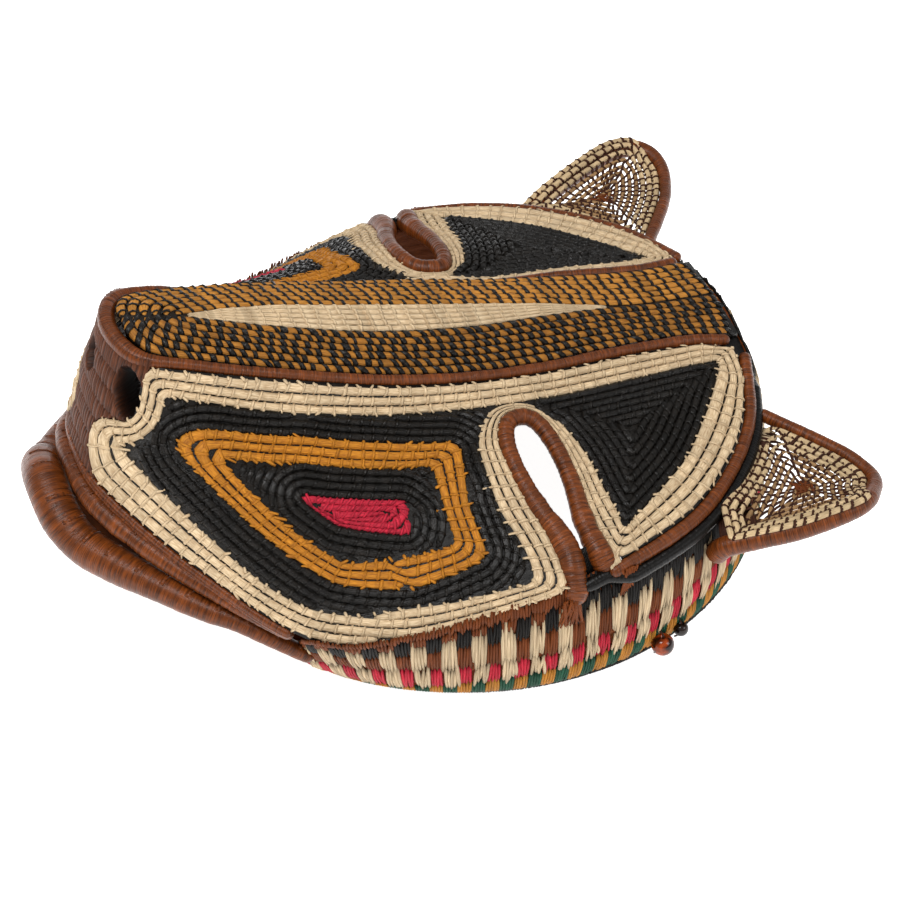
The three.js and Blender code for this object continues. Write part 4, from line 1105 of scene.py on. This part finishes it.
def addEar(rows, net, roll, seed):
    # each loop keeps an even distance inside the outline and comes down off the roll as it goes in
    outline, rise, middle, turns = earShape(roll)
    t = np.linspace(0, 1, 60)
    rays = outline[:, None] + (middle - outline)[:, None] * t[None, :, None]
    far = farFrom(rays[..., :2], outline[:, :2])
    loops = []
    for row in range(turns):
        depth = (row + 0.5) * ear["pitch"]
        share = np.minimum(shareAt(far, t, np.full(len(far), depth)), 0.97)[:, None]
        sunk = (rise * (1 - smooth(depth, 3, 13)))[:, None]
        loops.append(outline + (middle - outline) * share + upright * sunk)
    draw = np.random.default_rng(seed)
    creamDye, netDye = dyes["cream"] * (0.92, 0.88, 0.8), dyes["cream"] * (0.5, 0.38, 0.27)
    for row, loop in enumerate(loops):
        closed = np.vstack([loop, loop[:3]])
        size = ear["rowHalf"][row]
        cream = row < ear["creamRows"]
        settings = dict(coil, pitch=4.6 if cream else 4.0, height=size * 0.9, step=1.5, sides=6,
                        wobble=0.1, proud=0.12, thread=0.62)
        addRow(rows if cream else net, closed, upright, size, settings, seed + row,
               dyeAndShade=creamDye if cream else netDye, stitches=net, stitchDye=dyes["net"])
        if row + 1 == len(loops):
            continue
        gone = travelAlong(closed)
        spots = looseMarks(draw, int(gone[-1] / ear["linkPitch"]), gone[-1], 0.25)
        pick = np.clip(np.searchsorted(gone, spots), 0, 299)
        a, b, link = loop[pick], loops[row + 1][(pick + 1) % 300], ear["link"]
        addArcs(net, a, b, dyes["net"], base=0, height=0.5, width=link, thick=link)
    # strands that tie the net's root to the band
    low, high = ear["rootHeights"]
    roots = outline[np.hypot(outline[:, 0], outline[:, 1]) < ear["rootReach"]]
    roots = roots[(roots[:, 2] < high) & (roots[:, 2] > low)]
    outwards = unit(roots * (1, 1, 0))
    a = roots - outwards * 1.5
    b = a + outwards * draw.uniform(4.5, 9, (len(roots), 1))
    shades = np.where(draw.random((len(roots), 1)) < 0.35, dyes["cream"] * 0.8, dyes["net"])
    addArcs(net, a, b, shades, base=0.4, height=0.8, width=0.75, thick=0.5)
    # strands from the roll's last part over the corner to the root
    rootAngle = rootTurn + np.radians(np.linspace(18, 28, 16))
    a = readCurve(roll, np.linspace(7.9, 9.1, 16))
    b = bandPoint(rootAngle, ear["rootLine"][0] / bandTop(rootAngle)[0], 2.0)
    addArcs(net, a, b, dyes["net"], base=0, height=0.6, width=0.8, thick=0.5)
    # a loose knot of strands in the middle
    turn = draw.uniform(0, 2 * math.pi, (ear["cluster"], 1))
    spread = draw.normal(0, 2.0, (ear["cluster"], 1, 3)) * (1, 1, 0.25)
    knot = middle + spread + np.linspace(-2.2, 2.2, 4)[None, :, None] * polar(1, turn, 0)
    addStrands(net, knot, np.broadcast_to(upright, knot.shape), 0.5, 0.5, dyes["brown"] * 0.8)


earRows, earNets = [newBundle(), newBundle()], [newBundle(), newBundle()]
for number, name in enumerate(("earLeft", "earRight")):
    addEar(earRows[number], earNets[number], rolls[name], 80 + 10 * number)
finishBoth("ear_rows", earRows[0], dyedShadedThread, "cream_fibre", "ear", earRows[1])
finishBoth("ear_net", earNets[0], dyedShadedThread, "brown_fibre", "ear", earNets[1])
print("ears done")

# Glass beads strung on loops of thread at the rim's foot: radius, bore, degrees, distance, height.
beads = {"amber": (4.4, 1.0, -71.3, 121.9, 12.6), "black": (2.9, 0.8, -66.3, 120.7, 13.4)}


def beadBundle(radius, bore, degrees, out, height):
    # half a circle turned round the bore, its poles opened to the bore's width
    turn = np.linspace(0, math.pi, 25)
    profileR = np.r_[bore + (radius - bore) * np.sin(turn), bore]
    profileZ = np.r_[-radius * 0.9 * np.cos(turn), -radius * 0.9]
    around = np.linspace(0, 2 * math.pi, 33)[:-1]
    points = polar(profileR, around[:, None] + math.radians(degrees) + 0.3, profileZ)
    closing = gridQuads(33, 26) % (32 * 26)
    bundle = newBundle()
    addPart(bundle, points + polar(out, math.radians(degrees), height), closing,
            gridUv(np.arange(33.0), np.arange(26.0)), (1, 1, 1))
    return bundle


def beadThread(radius, bore, degrees, out, height):
    # from the wall above the bead down through its bore and back to the wall below it
    drops = np.array([radius + 4, radius + 1.5, radius, 0, -radius, -radius - 1.5, -radius - 3])
    reach = np.array([-radius, -radius * 0.5, 0, 0, 0, -radius * 0.5, -radius])
    knots = polar(out + reach, math.radians(degrees), height + drops)
    path = readCurve(knots, np.linspace(0, 6, 30))[None]
    outwards = np.broadcast_to(polar(1, math.radians(degrees), 0), path.shape)
    bundle = newBundle()
    addStrands(bundle, path, outwards, bore * 0.45, bore * 0.45, dyes["net"], 6)
    return bundle


swirl = {"scale": 190, "span": (0.42, 0.66), "rough": 0.06, "gloss": 0.3}
glasses = {"amber": mottled("amber_glass", colour(168, 66, 12), colour(26, 8, 5), swirl),
           "black": mottled("black_glass", colour(12, 10, 10), colour(34, 20, 14), swirl)}
for name, bead in beads.items():
    finishPiece(name + "_bead", beadBundle(*bead), glasses[name], name + "_glass", "bead_" + name)
for name, bead in beads.items():
    finishPiece(name + "_thread", beadThread(*bead), dyedShadedThread, "brown_fibre", "bead_" + name)

jawSettings = {"scale": 300, "span": (0, 1), "rough": 0.5, "gloss": 0.5}
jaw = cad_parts["jaw"]
jaw.material_slots[0].material = mottled("jaw_wrap", dyes["brown"], dyes["brownDark"], jawSettings)

# Floor, light and camera.
bpy.ops.mesh.primitive_plane_add(size=12)
floor = bpy.context.object
floor.name = "floor"
pale, paleTree, paleShader = newMaterial("pale_floor")
fill(paleTree, paleShader, {"Base Color": (0.93, 0.93, 0.93, 1), "Roughness": 0.9,
                            "Emission Color": (1, 1, 1, 1), "Emission Strength": 0.95})
floor.data.materials.append(pale)

world = bpy.data.worlds.new("studio")
bpy.context.scene.world = world
world.use_nodes = True
fill(world.node_tree, world.node_tree.nodes["Background"], {"Color": (1, 1, 1, 1), "Strength": 0.55})

lights = {"key": ((-0.45, -0.25, 1.2), 0.6, 15.0), "fill": ((0.9, -0.9, 0.8), 0.6, 6.0)}
for name, (place, size, watts) in lights.items():
    lamp = bpy.data.lights.new(name, "AREA")
    lamp.size = size
    lamp.energy = watts
    holder = bpy.data.objects.new(name, lamp)
    bpy.context.collection.objects.link(holder)
    holder.location = place
    aim = np.array([0, 0, 0.05]) - place
    holder.rotation_euler = (math.atan2(math.hypot(aim[0], aim[1]), -aim[2]), 0, math.atan2(-aim[0], aim[1]))

view = {"centre": (-307.39, -863.96, 797.23), "elevation": 40.0, "azimuth": -19.248, "lens": 120}
bpy.context.scene.view_settings.view_transform = "Standard"
camera = bpy.data.cameras.new("camera")
camera.lens = view["lens"]
camera.sensor_width = 36
cameraObject = bpy.data.objects.new("camera", camera)
bpy.context.collection.objects.link(cameraObject)
cameraObject.location = toScene(view["centre"])
cameraObject.rotation_euler = (math.radians(90 - view["elevation"]), 0, math.radians(view["azimuth"]))
bpy.context.scene.camera = cameraObject
